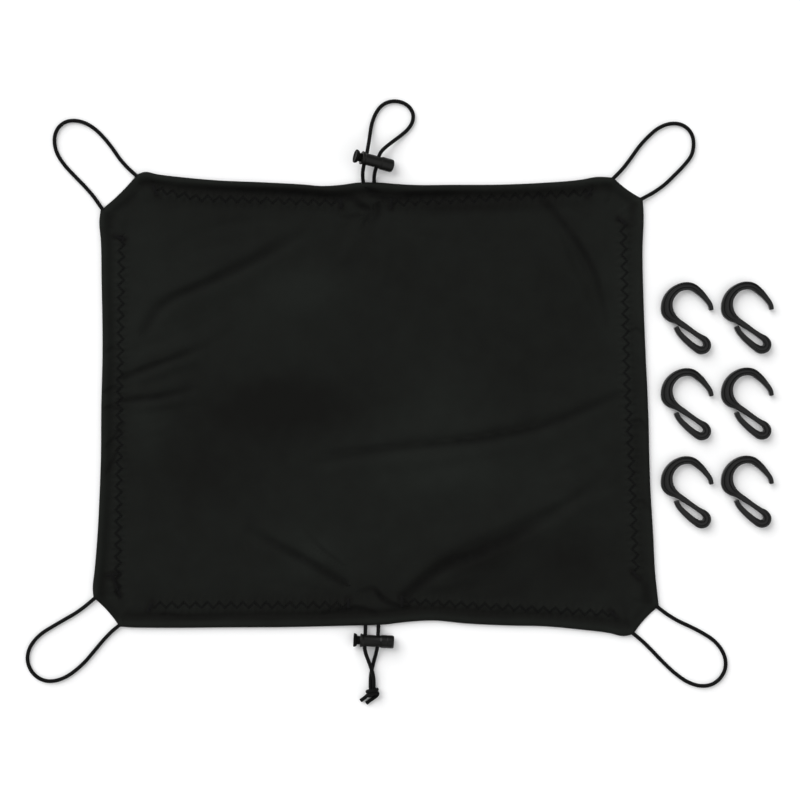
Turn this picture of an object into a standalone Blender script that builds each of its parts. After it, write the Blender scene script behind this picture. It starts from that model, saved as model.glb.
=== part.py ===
import math

import bmesh
import bpy
import numpy as np
from mathutils import Vector, geometry

# A stretch cargo cover laid out flat, with its elastic cord, two cord locks and six loose hooks.
# Every size below is in millimetres. The origin is the middle of the cloth's underside, on the
# surface that it lies on. +X points along the cloth's long way, +Y to the edge with the cord loop.
MM = 0.001

# Cloth: the four cased sides, clockwise from the top left, with the points each edge runs through.
SIDES = {
    "top": (
        (-202.6, 194.9), (-197.0, 197.0), (-184.8, 195.0), (-161.9, 192.3), (-132.1, 189.8),
        (-96.5, 188.3), (-60.0, 186.3), (-45.6, 185.1), (-30.0, 186.0), (-15.0, 188.0),
        (3.7, 188.0), (17.3, 186.9), (33.4, 186.0), (63.0, 186.1), (105.5, 186.3),
        (142.9, 187.9), (173.5, 190.4), (189.0, 192.9), (201.7, 192.3),
    ),
    "right": (
        (226.8, 174.1), (227.5, 163.0), (226.6, 130.7), (227.3, 93.4), (229.1, 45.8),
        (231.3, -0.8), (233.4, -73.0), (235.7, -111.2), (237.5, -145.2), (239.2, -161.0),
        (240.4, -171.6),
    ),
    "bottom": (
        (218.8, -195.4), (211.0, -197.1), (198.9, -194.6), (173.5, -191.5), (145.4, -188.9),
        (109.8, -188.0), (75.8, -186.3), (50.4, -183.9), (20.7, -185.7), (10.5, -187.0),
        (-20.1, -188.1), (-72.7, -189.4), (-123.7, -189.7), (-191.6, -190.0),
        (-208.5, -189.7), (-217.5, -188.9),
    ),
    "left": (
        (-239.6, -164.4), (-240.2, -156.0), (-238.8, -142.6), (-235.9, -107.0), (-234.6, -81.5),
        (-233.3, -45.0), (-233.0, -5.1), (-231.9, 45.8), (-232.7, 105.3), (-233.4, 139.2),
        (-234.6, 156.0), (-233.5, 164.6),
    ),
}
SIDE_CELLS = {"top": 27, "right": 22, "bottom": 27, "left": 22}
CORNER_STEPS = (0.0, 0.17, 0.36, 0.5, 0.64, 0.83)
MOUTH_SHARE = 0.2
EDGE_SAMPLES = 24
EASE_PASSES = 6

# Hem, as a section from under the edge, round it and back over the top.
HEM_SECTION = (
    # inset from the edge, height where the hem holds the cord, height along a cut corner
    (18.5, 0.0, 0.0),
    (2.6, 0.0, 0.0),
    (0.7, 0.9, 0.4),
    (0.0, 2.5, 1.0),
    (0.7, 4.1, 1.6),
    (2.6, 5.0, 2.0),
    (4.6, 4.0, 2.0),
    (6.2, 2.2, 1.7),
    (9.5, 2.5, 1.3),
    (13.0, 2.2, 1.2),
    (15.5, 1.7, 1.2),
    (18.5, 1.2, 1.2),
)
CLOTH_THICK = 1.2
FLAT_BELOW = 0.8
HEM_FADE = 24.0
VALLEY_SHARE = 0.85

# Inner points of the sheet, from which its triangles are made.
POINT_PITCH = 16.5
FOLD_PITCH = 12.0
FOLD_ROWS = (-13.0, -5.0, 0.0, 5.0, 13.0)
FOLD_POINT_GAP = 4.0
FOLD_RIM_GAP = 6.0
LATTICE_GAP = 8.5
LATTICE_RIM_GAP = 8.0
MERGE_BELOW = 1e-4
SHARP_FROM = 35.0

# Folds: a soft valley between two low shoulders that lift off the surface.
FOLDS = (
    # name, route, shoulder height, shoulder reach, valley reach
    ("upper left", ((-64, 144), (-103, 122), (-143, 103), (-184, 81), (-197, 62)), 4.2, 21.0, 5.5),
    ("left high", ((-212, 24), (-178, 36), (-143, 49)), 3.2, 13.0, 4.0),
    ("left low", ((-215, 3), (-185, 6), (-156, 13)), 3.2, 12.0, 4.0),
    ("top right", ((148, 165), (172, 118), (197, 68)), 4.0, 19.0, 5.0),
    ("middle", ((-46, -48), (20, -37), (99, -28), (146, -17), (206, 8)), 3.8, 20.0, 6.5),
    ("lower right", ((30, -158), (55, -139), (105, -115), (149, -93), (193, -67)), 5.4, 22.0, 7.0),
    ("lower left", ((-27, -152), (-71, -127), (-106, -108)), 4.0, 17.0, 5.5),
    ("top tuck", ((-24, 174), (-8, 166), (6, 158)), 3.0, 10.0, 4.0),
)
# Swells: broad low rises of the cloth between its folds.
SWELLS = (
    # centre x, centre y, half length, half width, turn in degrees, height
    (-58.0, 92.0, 46.0, 26.0, 22.0, 3.2),
    (-192.0, -22.0, 22.0, 30.0, 0.0, 3.0),
    (70.0, 12.0, 36.0, 24.0, 12.0, 2.8),
    (66.0, -66.0, 54.0, 20.0, 6.0, 3.2),
    (-62.0, -90.0, 44.0, 22.0, -30.0, 2.6),
    (120.0, 110.0, 40.0, 34.0, 60.0, 2.4),
    (-150.0, -110.0, 50.0, 34.0, 10.0, 2.2),
)

# Elastic cord: the routes of the stretches that show, each from one hem mouth to the next.
CORD_DIAMETER = 3.2
CORD_STEP = 7.5
LOOP_ROUTES = {
    "corner_loop_top_left": (
        (-203.9, 194.5, 2.5), (-210.6, 200.6, 1.9), (-217.4, 208.3, 1.6), (-223.5, 217.1, 1.6),
        (-230.5, 225.8, 1.6), (-238.0, 233.2, 1.6), (-246.4, 238.5, 1.6), (-255.3, 240.7, 1.6),
        (-262.7, 239.8, 1.6), (-268.7, 235.6, 1.6), (-272.2, 229.0, 1.6), (-272.7, 221.3, 1.6),
        (-270.6, 213.0, 1.6), (-265.0, 204.0, 1.6), (-256.6, 194.6, 1.6), (-247.5, 185.3, 1.6),
        (-239.4, 176.0, 1.9), (-232.6, 166.4, 2.5),
    ),
    "corner_loop_top_right": (
        (202.8, 192.5, 2.5), (209.3, 199.2, 1.9), (217.0, 209.1, 1.6), (224.4, 219.3, 1.6),
        (231.5, 227.0, 1.6), (239.8, 234.0, 1.6), (249.4, 237.9, 1.6), (258.0, 237.8, 1.6),
        (264.8, 234.2, 1.6), (269.0, 227.9, 1.6), (270.0, 219.4, 1.6), (268.1, 210.9, 1.6),
        (262.8, 203.7, 1.6), (254.2, 194.7, 1.6), (244.9, 185.9, 1.6), (235.6, 179.4, 1.9),
        (227.2, 174.7, 2.5),
    ),
    "corner_loop_bottom_left": (
        (-239.2, -165.5, 2.5), (-246.5, -171.6, 1.9), (-254.2, -177.2, 1.6), (-263.9, -182.9, 1.6),
        (-274.3, -189.0, 1.6), (-283.0, -194.5, 1.6), (-290.4, -201.7, 1.6), (-294.5, -208.9, 1.6),
        (-295.7, -217.1, 1.6), (-293.3, -225.3, 1.6), (-287.9, -231.6, 1.6), (-280.7, -235.0, 1.6),
        (-272.7, -235.1, 1.6), (-263.9, -232.2, 1.6), (-255.1, -226.4, 1.6), (-247.1, -219.2, 1.6),
        (-239.0, -209.8, 1.6), (-230.6, -199.9, 1.6), (-224.1, -193.2, 1.9), (-218.4, -188.5, 2.5),
    ),
    "corner_loop_bottom_right": (
        (240.0, -172.8, 2.5), (246.6, -177.9, 1.9), (256.9, -184.2, 1.6), (267.1, -189.0, 1.6),
        (277.6, -194.5, 1.6), (287.2, -200.9, 1.6), (294.2, -209.4, 1.6), (297.2, -218.2, 1.6),
        (296.6, -225.8, 1.6), (292.1, -233.5, 1.6), (284.4, -238.6, 1.6), (276.0, -239.4, 1.6),
        (265.6, -236.3, 1.6), (255.2, -229.4, 1.6), (244.8, -219.9, 1.6), (234.1, -208.8, 1.6),
        (225.9, -200.8, 1.9), (219.4, -195.4, 2.5),
    ),
}
TOP_LOOP_ROUTE = (
    (-10.6, 188.6, 2.9), (-10.9, 191.6, 4.9), (-10.9, 195.4, 8.4), (-10.4, 199.0, 11.4),
    (-9.7, 202.0, 12.5), (-8.4, 207.1, 12.5), (-7.1, 212.4, 12.4), (-6.4, 216.8, 11.0),
    (-5.6, 222.0, 7.7), (-4.7, 229.0, 4.0), (-3.0, 238.8, 1.8), (0.0, 246.5, 1.6),
    (4.5, 252.8, 1.6), (10.6, 256.4, 1.6), (16.8, 257.2, 1.6), (23.8, 255.6, 1.6),
    (29.4, 251.3, 1.6), (31.9, 245.7, 1.6), (31.5, 240.3, 1.6), (28.4, 234.5, 1.6),
    (22.6, 228.9, 2.1), (15.2, 223.1, 3.7), (8.2, 217.2, 6.6), (4.5, 213.2, 8.6),
    (2.8, 209.6, 9.1), (1.7, 204.7, 9.1), (0.6, 200.4, 9.1), (-0.3, 197.4, 8.2),
    (-1.1, 193.8, 5.6), (-1.3, 188.6, 2.9),
)
TAIL_ROUTES = {
    "cord_tail_left": (
        (-8.6, -188.4, 2.9), (-8.7, -191.8, 4.3), (-8.8, -195.0, 5.6), (-8.9, -197.2, 5.7),
        (-9.2, -203.6, 5.7), (-9.3, -206.6, 5.8), (-8.5, -210.9, 5.9), (-6.8, -215.7, 6.0),
        (-4.9, -220.5, 5.9), (-3.3, -225.4, 5.5), (-2.1, -229.8, 4.8), (-1.6, -234.0, 4.0),
        (-1.5, -238.0, 3.9), (-1.6, -240.8, 3.9),
    ),
    "cord_tail_right": (
        (2.4, -187.9, 2.9), (2.3, -191.6, 4.2), (2.1, -194.8, 5.5), (2.0, -197.2, 5.6),
        (1.6, -204.6, 5.6), (1.3, -207.4, 5.3), (0.5, -210.9, 4.2), (-0.8, -215.8, 2.3),
        (-2.1, -220.8, 1.6), (-3.2, -225.4, 1.6), (-4.0, -229.8, 1.6), (-4.3, -234.0, 1.6),
        (-4.4, -238.0, 1.7), (-4.4, -241.0, 2.0),
    ),
}

# Knot that joins the two tails: a core, the turn round it, and the two cut ends that stick out.
KNOT_CENTRE = (-2.9, -244.8, 4.3)
KNOT_CORE = (5.0, 3.7, 3.7)
KNOT_CORE_STEPS = (12, 8)
KNOT_TURN = {"reach": 3.9, "rise": 2.7, "forward": 0.8, "slant": 0.9}
KNOT_TURN_STEPS = 14
KNOT_STRANDS = {
    "knot_end_upper": ((-1.6, 0.2, 0.2), (-5.0, -3.3, -1.5), (-9.5, -6.9, -2.7)),
    "knot_end_lower": ((3.0, 1.2, 1.8), (4.6, -1.2, 0.2), (1.0, -4.7, -1.6), (-4.6, -9.1, -2.7)),
}
STRAND_SIDES = 8

# Cord locks: a barrel with two cross holes, and a sprung plunger whose slots line up with them.
LOCK_HOLES = (4.1, 15.0)
HOLE_RADIUS = 2.3
SLOT_GAP = 0.5
SLOT_END_STEPS = 6
CUTTER_REACH = 9.0
PLUNGER_TRAVEL = 2.2
BARREL_RADIUS = 5.55
FAR_CONTACT = 27.5
BARREL_PROFILE = (
    # along the barrel, radius
    (0.0, 3.85), (0.0, 5.3), (0.5, 5.8), (2.3, 5.8), (2.9, 5.15), (17.4, 5.15),
    (18.2, BARREL_RADIUS), (FAR_CONTACT, BARREL_RADIUS), (28.9, 4.3), (28.9, 0.0),
    (25.2, 0.0), (25.2, 3.85),
)
PLUNGER_PROFILE = (
    (-5.0, 0.0), (-5.0, 3.4), (-5.6, 4.3), (-5.6, 5.3), (-5.3, 5.8), (-4.8, 5.8),
    (-3.5, 4.4), (-2.4, 3.5), (18.5, 3.5), (18.5, 0.0),
)
LOCK_SIDES = 16
LOCKS = {
    # name: barrel mouth, turn in degrees, lean of the head above the far end in degrees
    "top": {"mouth": (-12.2, 208.0), "turn": -13.6, "lean": 18.0},
    "bottom": {"mouth": (-13.2, -200.2), "turn": -3.1, "lean": 0.4},
}

# Hooks: one swept bar from the nose, round the bowl, down the shank and back up to the snap tip.
HOOK_THICK = 6.5
HOOK_RIM = 1.5
HOOK_RIM_SLOPE = 0.4
HOOK_WEB_LEAST = 0.05
HOOK_TURN_STEP = 24.0
HOOK_PATH = (
    # x, y, width, recess of the web below the rims
    (20.3, 6.8, 3.5, 0.0), (19.4, 10.9, 3.8, 0.0), (15.7, 16.3, 4.4, 0.0),
    (9.4, 22.9, 5.8, 0.6), (3.9, 26.7, 6.3, 1.5), (-2.8, 27.2, 6.7, 1.6),
    (-8.2, 25.4, 6.9, 1.6), (-13.0, 21.6, 7.8, 1.6), (-16.3, 16.6, 8.7, 1.6),
    (-17.6, 10.2, 9.8, 1.6), (-16.7, 4.7, 10.3, 1.6), (-13.7, 1.0, 8.7, 1.2),
    (-9.6, -1.8, 5.8, 0.2), (-2.8, -6.3, 4.7, 0.0), (10.6, -15.5, 4.4, 0.0),
    (14.7, -18.2, 5.5, 0.6), (16.6, -22.2, 6.6, 1.0), (15.0, -26.1, 6.9, 1.0),
    (11.2, -27.2, 6.8, 0.8), (6.3, -24.8, 5.6, 0.4), (0.8, -20.5, 5.1, 0.0),
    (-4.4, -15.6, 4.6, 0.0), (-7.9, -11.4, 4.2, 0.0), (-9.8, -7.2, 4.1, 0.0),
)
HOOK_COLUMNS = (264.6, 315.7)
HOOK_ROWS = (72.7, -0.2, -74.9)
SECOND_COLUMN_RISE = 0.5
HOOK_TURN_PARTS = 8

FINISHES = {
    # name: colour, roughness
    "cloth": ((0.013, 0.014, 0.0135), 0.9),
    "cord": ((0.008, 0.008, 0.008), 0.7),
    "lock_barrel": ((0.016, 0.016, 0.015), 0.45),
    "lock_plunger": ((0.014, 0.014, 0.013), 0.45),
    "hook": ((0.018, 0.018, 0.017), 0.42),
}


def clear_scene():
    for thing in list(bpy.data.objects):
        bpy.data.objects.remove(thing)


def make_finishes():
    made = {}
    for name, (colour, roughness) in FINISHES.items():
        material = bpy.data.materials.new(name)
        material.use_nodes = True
        shader = material.node_tree.nodes["Principled BSDF"]
        shader.inputs["Base Color"].default_value = (*colour, 1.0)
        shader.inputs["Roughness"].default_value = roughness
        shader.inputs["Metallic"].default_value = 0.0
        made[name] = material
    return made


def add_object(name, data, material=None):
    thing = bpy.data.objects.new(name, data)
    bpy.context.collection.objects.link(thing)
    if material is not None:
        data.materials.append(material)
    return thing


def add_mesh(name, points, faces, material=None):
    mesh = bpy.data.meshes.new(name)
    mesh.from_pydata([Vector(point) * MM for point in points], [], faces)
    work = bmesh.new()
    work.from_mesh(mesh)
    bmesh.ops.recalc_face_normals(work, faces=work.faces)
    work.to_mesh(mesh)
    work.free()
    mesh.shade_smooth()
    mesh.set_sharp_from_angle(angle=math.radians(SHARP_FROM))
    return add_object(name, mesh, material)


def smooth_path(points, parts):
    # A curve through the points, with parts[i] steps between point i and the next one.
    points = np.asarray(points, dtype=float)
    gaps = np.linalg.norm(np.diff(points[:, :2], axis=0), axis=1)
    slopes = np.diff(points, axis=0) / gaps[:, None]
    tangents = np.empty_like(points)
    tangents[0] = slopes[0]
    tangents[-1] = slopes[-1]
    before = gaps[:-1, None]
    after = gaps[1:, None]
    tangents[1:-1] = (slopes[:-1] * after + slopes[1:] * before) / (before + after)
    path = []
    for index, steps in enumerate(parts):
        for step in range(steps):
            t = step / steps
            path.append(
                (2 * t**3 - 3 * t**2 + 1) * points[index]
                + (3 * t**2 - 2 * t**3) * points[index + 1]
                + (t**3 - 2 * t**2 + t) * gaps[index] * tangents[index]
                + (t**3 - t**2) * gaps[index] * tangents[index + 1]
            )
    path.append(points[-1])
    return np.array(path)


def even_points(points, cells):
    # The same curve, cut into cells of equal length.
    dense = smooth_path(points, [EDGE_SAMPLES] * (len(points) - 1))
    lengths = np.linalg.norm(np.diff(dense, axis=0), axis=1)
    along = np.concatenate(([0.0], np.cumsum(lengths)))
    wanted = np.linspace(0.0, along[-1], cells + 1)
    return np.stack([np.interp(wanted, along, dense[:, axis]) for axis in (0, 1)], axis=1)


def cloth_edge():
    # Stations round the cloth, with 1 where the hem holds the cord and 0 along a cut corner.
    stations = []
    held = []
    names = list(SIDES)
    for index, name in enumerate(names):
        side = even_points(SIDES[name], SIDE_CELLS[name])
        stations.extend(side[:-1])
        held.extend([1.0] * (len(side) - 1))
        start = side[-1]
        end = np.array(SIDES[names[(index + 1) % 4]][0])
        for step in CORNER_STEPS:
            stations.append(start + (end - start) * step)
            near_mouth = min(step, 1.0 - step) < MOUTH_SHARE
            held.append(1.0 if near_mouth else 0.0)
    return np.array(stations), np.array(held)


def inward_directions(stations):
    ahead = np.roll(stations, -1, axis=0) - np.roll(stations, 1, axis=0)
    ahead /= np.linalg.norm(ahead, axis=1)[:, None]
    straight = np.stack([ahead[:, 1], -ahead[:, 0]], axis=1)
    eased = straight
    for _ in range(EASE_PASSES):
        eased = 0.5 * eased + 0.25 * (np.roll(eased, 1, axis=0) + np.roll(eased, -1, axis=0))
        eased /= np.linalg.norm(eased, axis=1)[:, None]
    return eased / np.sum(eased * straight, axis=1)[:, None]


def distance_to_route(places, route):
    best = np.full(len(places), np.inf)
    for start, end in zip(route[:-1], route[1:]):
        start = np.array(start, dtype=float)
        run = np.array(end, dtype=float) - start
        along = np.clip((places - start) @ run / (run @ run), 0.0, 1.0)
        gap = places - start - along[:, None] * run
        best = np.minimum(best, np.linalg.norm(gap, axis=1))
    return best


def cloth_lift(places):
    # How far the cloth stands off the surface: nothing but over the folds and swells.
    rise = np.zeros(len(places))
    for _, route, height, reach, valley in FOLDS:
        away = distance_to_route(places, route)
        shoulder = height * np.exp(-((away / reach) ** 2))
        rise += shoulder * (1.0 - VALLEY_SHARE * np.exp(-((away / valley) ** 2)))
    for x, y, half_length, half_width, turn, height in SWELLS:
        turn = math.radians(turn)
        along = (places[:, 0] - x) * math.cos(turn) + (places[:, 1] - y) * math.sin(turn)
        across = (places[:, 1] - y) * math.cos(turn) - (places[:, 0] - x) * math.sin(turn)
        rise += height * np.exp(-((along / half_length) ** 2) - (across / half_width) ** 2)
    return np.maximum(rise - FLAT_BELOW, 0.0)


def fold_points():
    places = []
    for _, route, _, _, _ in FOLDS:
        length = sum(math.dist(a, b) for a, b in zip(route[:-1], route[1:]))
        line = even_points(route, max(2, round(length / FOLD_PITCH)))
        ahead = np.gradient(line, axis=0)
        ahead /= np.linalg.norm(ahead, axis=1)[:, None]
        across = np.stack([-ahead[:, 1], ahead[:, 0]], axis=1)
        for offset in FOLD_ROWS:
            places.extend(line + across * offset)
    return np.array(places)


def spread_points(ring):
    # Inner points of the sheet: rows along the folds, and an even lattice between them.
    closed = np.vstack([ring, ring[:1]])
    kept = []
    for place in fold_points():
        if inside(place, ring) and distance_to_route(place[None], closed)[0] > FOLD_RIM_GAP:
            if all(math.dist(place, other) > FOLD_POINT_GAP for other in kept):
                kept.append(place)
    row_height = POINT_PITCH * math.sqrt(3.0) / 2.0
    low = ring.min(axis=0)
    high = ring.max(axis=0)
    rows = int((high[1] - low[1]) / row_height) + 1
    columns = int((high[0] - low[0]) / POINT_PITCH) + 1
    taken = np.array(kept)
    for row in range(rows):
        for column in range(columns):
            shift = 0.5 * (row % 2)
            place = low + np.array([(column + shift) * POINT_PITCH, row * row_height])
            if not inside(place, ring):
                continue
            if distance_to_route(place[None], closed)[0] < LATTICE_RIM_GAP:
                continue
            if np.linalg.norm(taken - place, axis=1).min() > LATTICE_GAP:
                kept.append(place)
    return np.array(kept)


def inside(place, ring):
    after = np.roll(ring, -1, axis=0)
    crosses = (ring[:, 1] > place[1]) != (after[:, 1] > place[1])
    rise = np.where(crosses, after[:, 1] - ring[:, 1], 1.0)
    meets = ring[:, 0] + (place[1] - ring[:, 1]) * (after[:, 0] - ring[:, 0]) / rise
    return np.count_nonzero(crosses & (place[0] < meets)) % 2 == 1


def build_cloth(material):
    stations, held = cloth_edge()
    inward = inward_directions(stations)
    count = len(stations)
    points = []
    for inset, cased, cut in HEM_SECTION:
        places = stations + inward * inset
        fade = min(inset / HEM_FADE, 1.0) ** 2
        heights = held * cased + (1.0 - held) * cut + cloth_lift(places) * fade
        points.extend(np.column_stack([places, heights]))
    faces = []
    for row in range(len(HEM_SECTION) - 1):
        for column in range(count):
            after = (column + 1) % count
            low = row * count
            high = low + count
            faces.append((low + column, low + after, high + after))
            faces.append((low + column, high + after, high + column))

    ring = stations + inward * HEM_SECTION[-1][0]
    closed = np.vstack([ring, ring[:1]])
    inner = spread_points(ring)
    flat = [Vector(place) for place in np.vstack([ring, inner])]
    rim = [(index, (index + 1) % count) for index in range(count)]
    laid = geometry.delaunay_2d_cdt(flat, rim, [], 1, MERGE_BELOW)
    edge_fade = (HEM_SECTION[-1][0] + distance_to_route(inner, closed)) / HEM_FADE
    lift = cloth_lift(inner) * np.minimum(edge_fade, 1.0) ** 2
    under_start = len(points)
    over_start = under_start + len(inner)
    points.extend(np.column_stack([inner, lift]))
    points.extend(np.column_stack([inner, lift + CLOTH_THICK]))
    top_ring = (len(HEM_SECTION) - 1) * count
    for triangle in laid[2]:
        over = [top_ring + i if i < count else over_start + i - count for i in triangle]
        under = [i if i < count else under_start + i - count for i in triangle]
        faces.append(tuple(over))
        faces.append(tuple(reversed(under)))
    return add_mesh("cloth", points, faces, material)


def add_cord(name, route, material):
    gaps = [math.dist(a, b) for a, b in zip(route[:-1], route[1:])]
    path = smooth_path(route, [max(1, round(gap / CORD_STEP)) for gap in gaps])
    path[:, 2] = np.maximum(path[:, 2], CORD_DIAMETER / 2.0)
    curve = bpy.data.curves.new(name, "CURVE")
    curve.dimensions = "3D"
    spline = curve.splines.new("POLY")
    spline.points.add(len(path) - 1)
    for point, place in zip(spline.points, path):
        point.co = (*(place * MM), 1.0)
    curve.bevel_depth = CORD_DIAMETER / 2.0 * MM
    curve.bevel_resolution = 2
    curve.use_fill_caps = True
    return add_object(name, curve, material)


def tube(path, radius, sides, looped=False):
    # Points and faces of a round bar along a path, with flat ends unless it closes on itself.
    path = [Vector(place) for place in path]
    points = []
    side = Vector((0.0, 1.0, 0.0))
    for index, place in enumerate(path):
        if looped:
            ahead = path[(index + 1) % len(path)] - path[index - 1]
        else:
            ahead = path[min(index + 1, len(path) - 1)] - path[max(index - 1, 0)]
        ahead.normalize()
        side = (side - ahead * side.dot(ahead)).normalized()
        up = side.cross(ahead)
        for step in range(sides):
            angle = 2.0 * math.pi * step / sides
            points.append(place + (side * math.cos(angle) + up * math.sin(angle)) * radius)
    faces = []
    rings = len(path) if looped else len(path) - 1
    for ring in range(rings):
        after = (ring + 1) % len(path)
        for step in range(sides):
            beside = (step + 1) % sides
            faces.append((ring * sides + step, ring * sides + beside,
                          after * sides + beside, after * sides + step))
    if not looped:
        last = (len(path) - 1) * sides
        faces.append(tuple(range(sides)))
        faces.append(tuple(reversed(range(last, last + sides))))
    return points, faces


def as_guide(thing):
    thing.display_type = "WIRE"
    thing.hide_render = True


def build_knot(material):
    centre = Vector(KNOT_CENTRE)
    core = bmesh.new()
    around, upward = KNOT_CORE_STEPS
    bmesh.ops.create_uvsphere(core, u_segments=around, v_segments=upward, radius=1.0)
    size = Vector(KNOT_CORE)
    for point in core.verts:
        point.co = (point.co * size + centre) * MM
    mesh = bpy.data.meshes.new("tail_knot")
    core.to_mesh(mesh)
    core.free()
    knot = add_object("tail_knot", mesh, material)

    ring = []
    for step in range(KNOT_TURN_STEPS):
        angle = 2.0 * math.pi * step / KNOT_TURN_STEPS
        ring.append(centre + Vector((
            KNOT_TURN["reach"] * math.cos(angle),
            KNOT_TURN["forward"] + KNOT_TURN["slant"] * math.cos(angle),
            KNOT_TURN["rise"] * math.sin(angle),
        )))
    strands = {"knot_turn": tube(ring, CORD_DIAMETER / 2.0, STRAND_SIDES, looped=True)}
    for name, route in KNOT_STRANDS.items():
        path = smooth_path([centre + Vector(place) for place in route], [2] * (len(route) - 1))
        strands[name] = tube(path, CORD_DIAMETER / 2.0, STRAND_SIDES)
    for name, (points, faces) in strands.items():
        strand = add_mesh(name, points, faces)
        as_guide(strand)
        join = knot.modifiers.new(name, "BOOLEAN")
        join.operation = "UNION"
        join.solver = "EXACT"
        join.object = strand
    return knot


def lathe(profile, sides):
    # Points and faces of a profile turned about X, which starts and ends on the axis or
    # closes on itself. A row on the axis is one point.
    points = []
    rows = []
    for along, radius in profile:
        if radius == 0.0:
            rows.append([len(points)] * sides)
            points.append((along, 0.0, 0.0))
            continue
        rows.append(list(range(len(points), len(points) + sides)))
        for step in range(sides):
            angle = 2.0 * math.pi * (step + 0.5) / sides
            points.append((along, radius * math.cos(angle), radius * math.sin(angle)))
    faces = []
    for row, after in zip(rows, rows[1:] + rows[:1]):
        for step in range(sides):
            beside = (step + 1) % sides
            corners = tuple(dict.fromkeys((row[step], row[beside], after[beside], after[step])))
            if len(corners) > 2:
                faces.append(corners)
    return points, faces


def add_slot_cutter(name, centre, length, width, parent):
    # A bar with round ends that runs right across the lock.
    outline = []
    for turn, end in ((-90.0, 1.0), (90.0, -1.0)):
        middle = centre + end * (length - width) / 2.0
        for step in range(SLOT_END_STEPS):
            angle = math.radians(turn + 180.0 * (step + 0.5) / SLOT_END_STEPS)
            outline.append((middle + width / 2.0 * math.cos(angle), width / 2.0 * math.sin(angle)))
    points = [(along, side, height) for side in (-CUTTER_REACH, CUTTER_REACH)
              for along, height in outline]
    size = len(outline)
    faces = [tuple(range(size)), tuple(reversed(range(size, 2 * size)))]
    for step in range(size):
        beside = (step + 1) % size
        faces.append((step, beside, size + beside, size + step))
    cutter = add_mesh(name, points, faces)
    cutter.parent = parent
    as_guide(cutter)
    return cutter


def cut(thing, cutter):
    hole = thing.modifiers.new(cutter.name, "BOOLEAN")
    hole.operation = "DIFFERENCE"
    hole.solver = "EXACT"
    hole.object = cutter


def build_lock(name, place, finishes):
    lean = math.radians(place["lean"])
    frame = bpy.data.objects.new(f"lock_frame_{name}", None)
    bpy.context.collection.objects.link(frame)
    far_height = BARREL_RADIUS * math.cos(lean) + FAR_CONTACT * math.sin(lean)
    frame.location = Vector((*place["mouth"], far_height)) * MM
    frame.rotation_euler = (0.0, lean, math.radians(place["turn"]))

    points, faces = lathe(BARREL_PROFILE, LOCK_SIDES)
    barrel = add_mesh(f"lock_barrel_{name}", points, faces, finishes["lock_barrel"])
    points, faces = lathe(PLUNGER_PROFILE, LOCK_SIDES)
    plunger = add_mesh(f"lock_plunger_{name}", points, faces, finishes["lock_plunger"])
    barrel.parent = frame
    plunger.parent = frame

    slot_width = CORD_DIAMETER + 2.0 * SLOT_GAP
    for number, along in enumerate(LOCK_HOLES, start=1):
        hole = add_slot_cutter(
            f"hole_{number}_{name}", along, 2.0 * HOLE_RADIUS, 2.0 * HOLE_RADIUS, frame)
        cut(barrel, hole)
        slot = add_slot_cutter(
            f"slot_{number}_{name}", along - PLUNGER_TRAVEL / 2.0,
            slot_width + PLUNGER_TRAVEL, slot_width, frame)
        cut(plunger, slot)


def hook_stations():
    rows = np.array(HOOK_PATH)
    dense = smooth_path(rows, [HOOK_TURN_PARTS] * (len(rows) - 1))
    ahead = np.gradient(dense[:, :2], axis=0)
    heading = np.unwrap(np.arctan2(ahead[:, 1], ahead[:, 0]))
    parts = []
    for index in range(len(rows) - 1):
        start = index * HOOK_TURN_PARTS
        stretch = heading[start:start + HOOK_TURN_PARTS + 1]
        turned = math.degrees(np.abs(np.diff(stretch)).sum())
        parts.append(max(1, round(turned / HOOK_TURN_STEP)))
    return smooth_path(rows, parts)


def hook_mesh():
    stations = hook_stations()
    ahead = np.gradient(stations[:, :2], axis=0)
    ahead /= np.linalg.norm(ahead, axis=1)[:, None]
    points = []
    for (x, y, width, recess), (dx, dy) in zip(stations, ahead):
        half = width / 2.0
        web = max(half - HOOK_RIM - HOOK_RIM_SLOPE, HOOK_WEB_LEAST)
        floor = HOOK_THICK - max(recess, 0.0)
        section = (
            (half, 0.0), (half, HOOK_THICK), (half - HOOK_RIM, HOOK_THICK), (web, floor),
            (-web, floor), (HOOK_RIM - half, HOOK_THICK), (-half, HOOK_THICK), (-half, 0.0),
        )
        for across, height in section:
            points.append((x - dy * across, y + dx * across, height))
    size = len(section)
    faces = []
    for row in range(len(stations) - 1):
        for step in range(size):
            beside = (step + 1) % size
            faces.append((row * size + step, row * size + beside,
                          (row + 1) * size + beside, (row + 1) * size + step))
    last = (len(stations) - 1) * size
    faces.append(tuple(range(size)))
    faces.append(tuple(reversed(range(last, last + size))))
    return points, faces


def build_hooks(material):
    points, faces = hook_mesh()
    number = 1
    shared = None
    for row in HOOK_ROWS:
        for column, x in enumerate(HOOK_COLUMNS):
            if shared is None:
                hook = add_mesh(f"hook_{number}", points, faces, material)
                shared = hook.data
            else:
                hook = bpy.data.objects.new(f"hook_{number}", shared)
                bpy.context.collection.objects.link(hook)
            hook.location = Vector((x, row + column * SECOND_COLUMN_RISE, 0.0)) * MM
            number += 1


def main():
    clear_scene()
    finishes = make_finishes()
    build_cloth(finishes["cloth"])
    for name, route in LOOP_ROUTES.items():
        add_cord(name, route, finishes["cord"])
    add_cord("lock_loop_top", TOP_LOOP_ROUTE, finishes["cord"])
    for name, route in TAIL_ROUTES.items():
        add_cord(name, route, finishes["cord"])
    build_knot(finishes["cord"])
    for name, place in LOCKS.items():
        build_lock(name, place, finishes)
    build_hooks(finishes["hook"])


main()
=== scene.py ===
import math

import bmesh
import bpy
import numpy as np
from mathutils import Euler, Matrix, Vector
from mathutils.bvhtree import BVHTree


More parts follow.
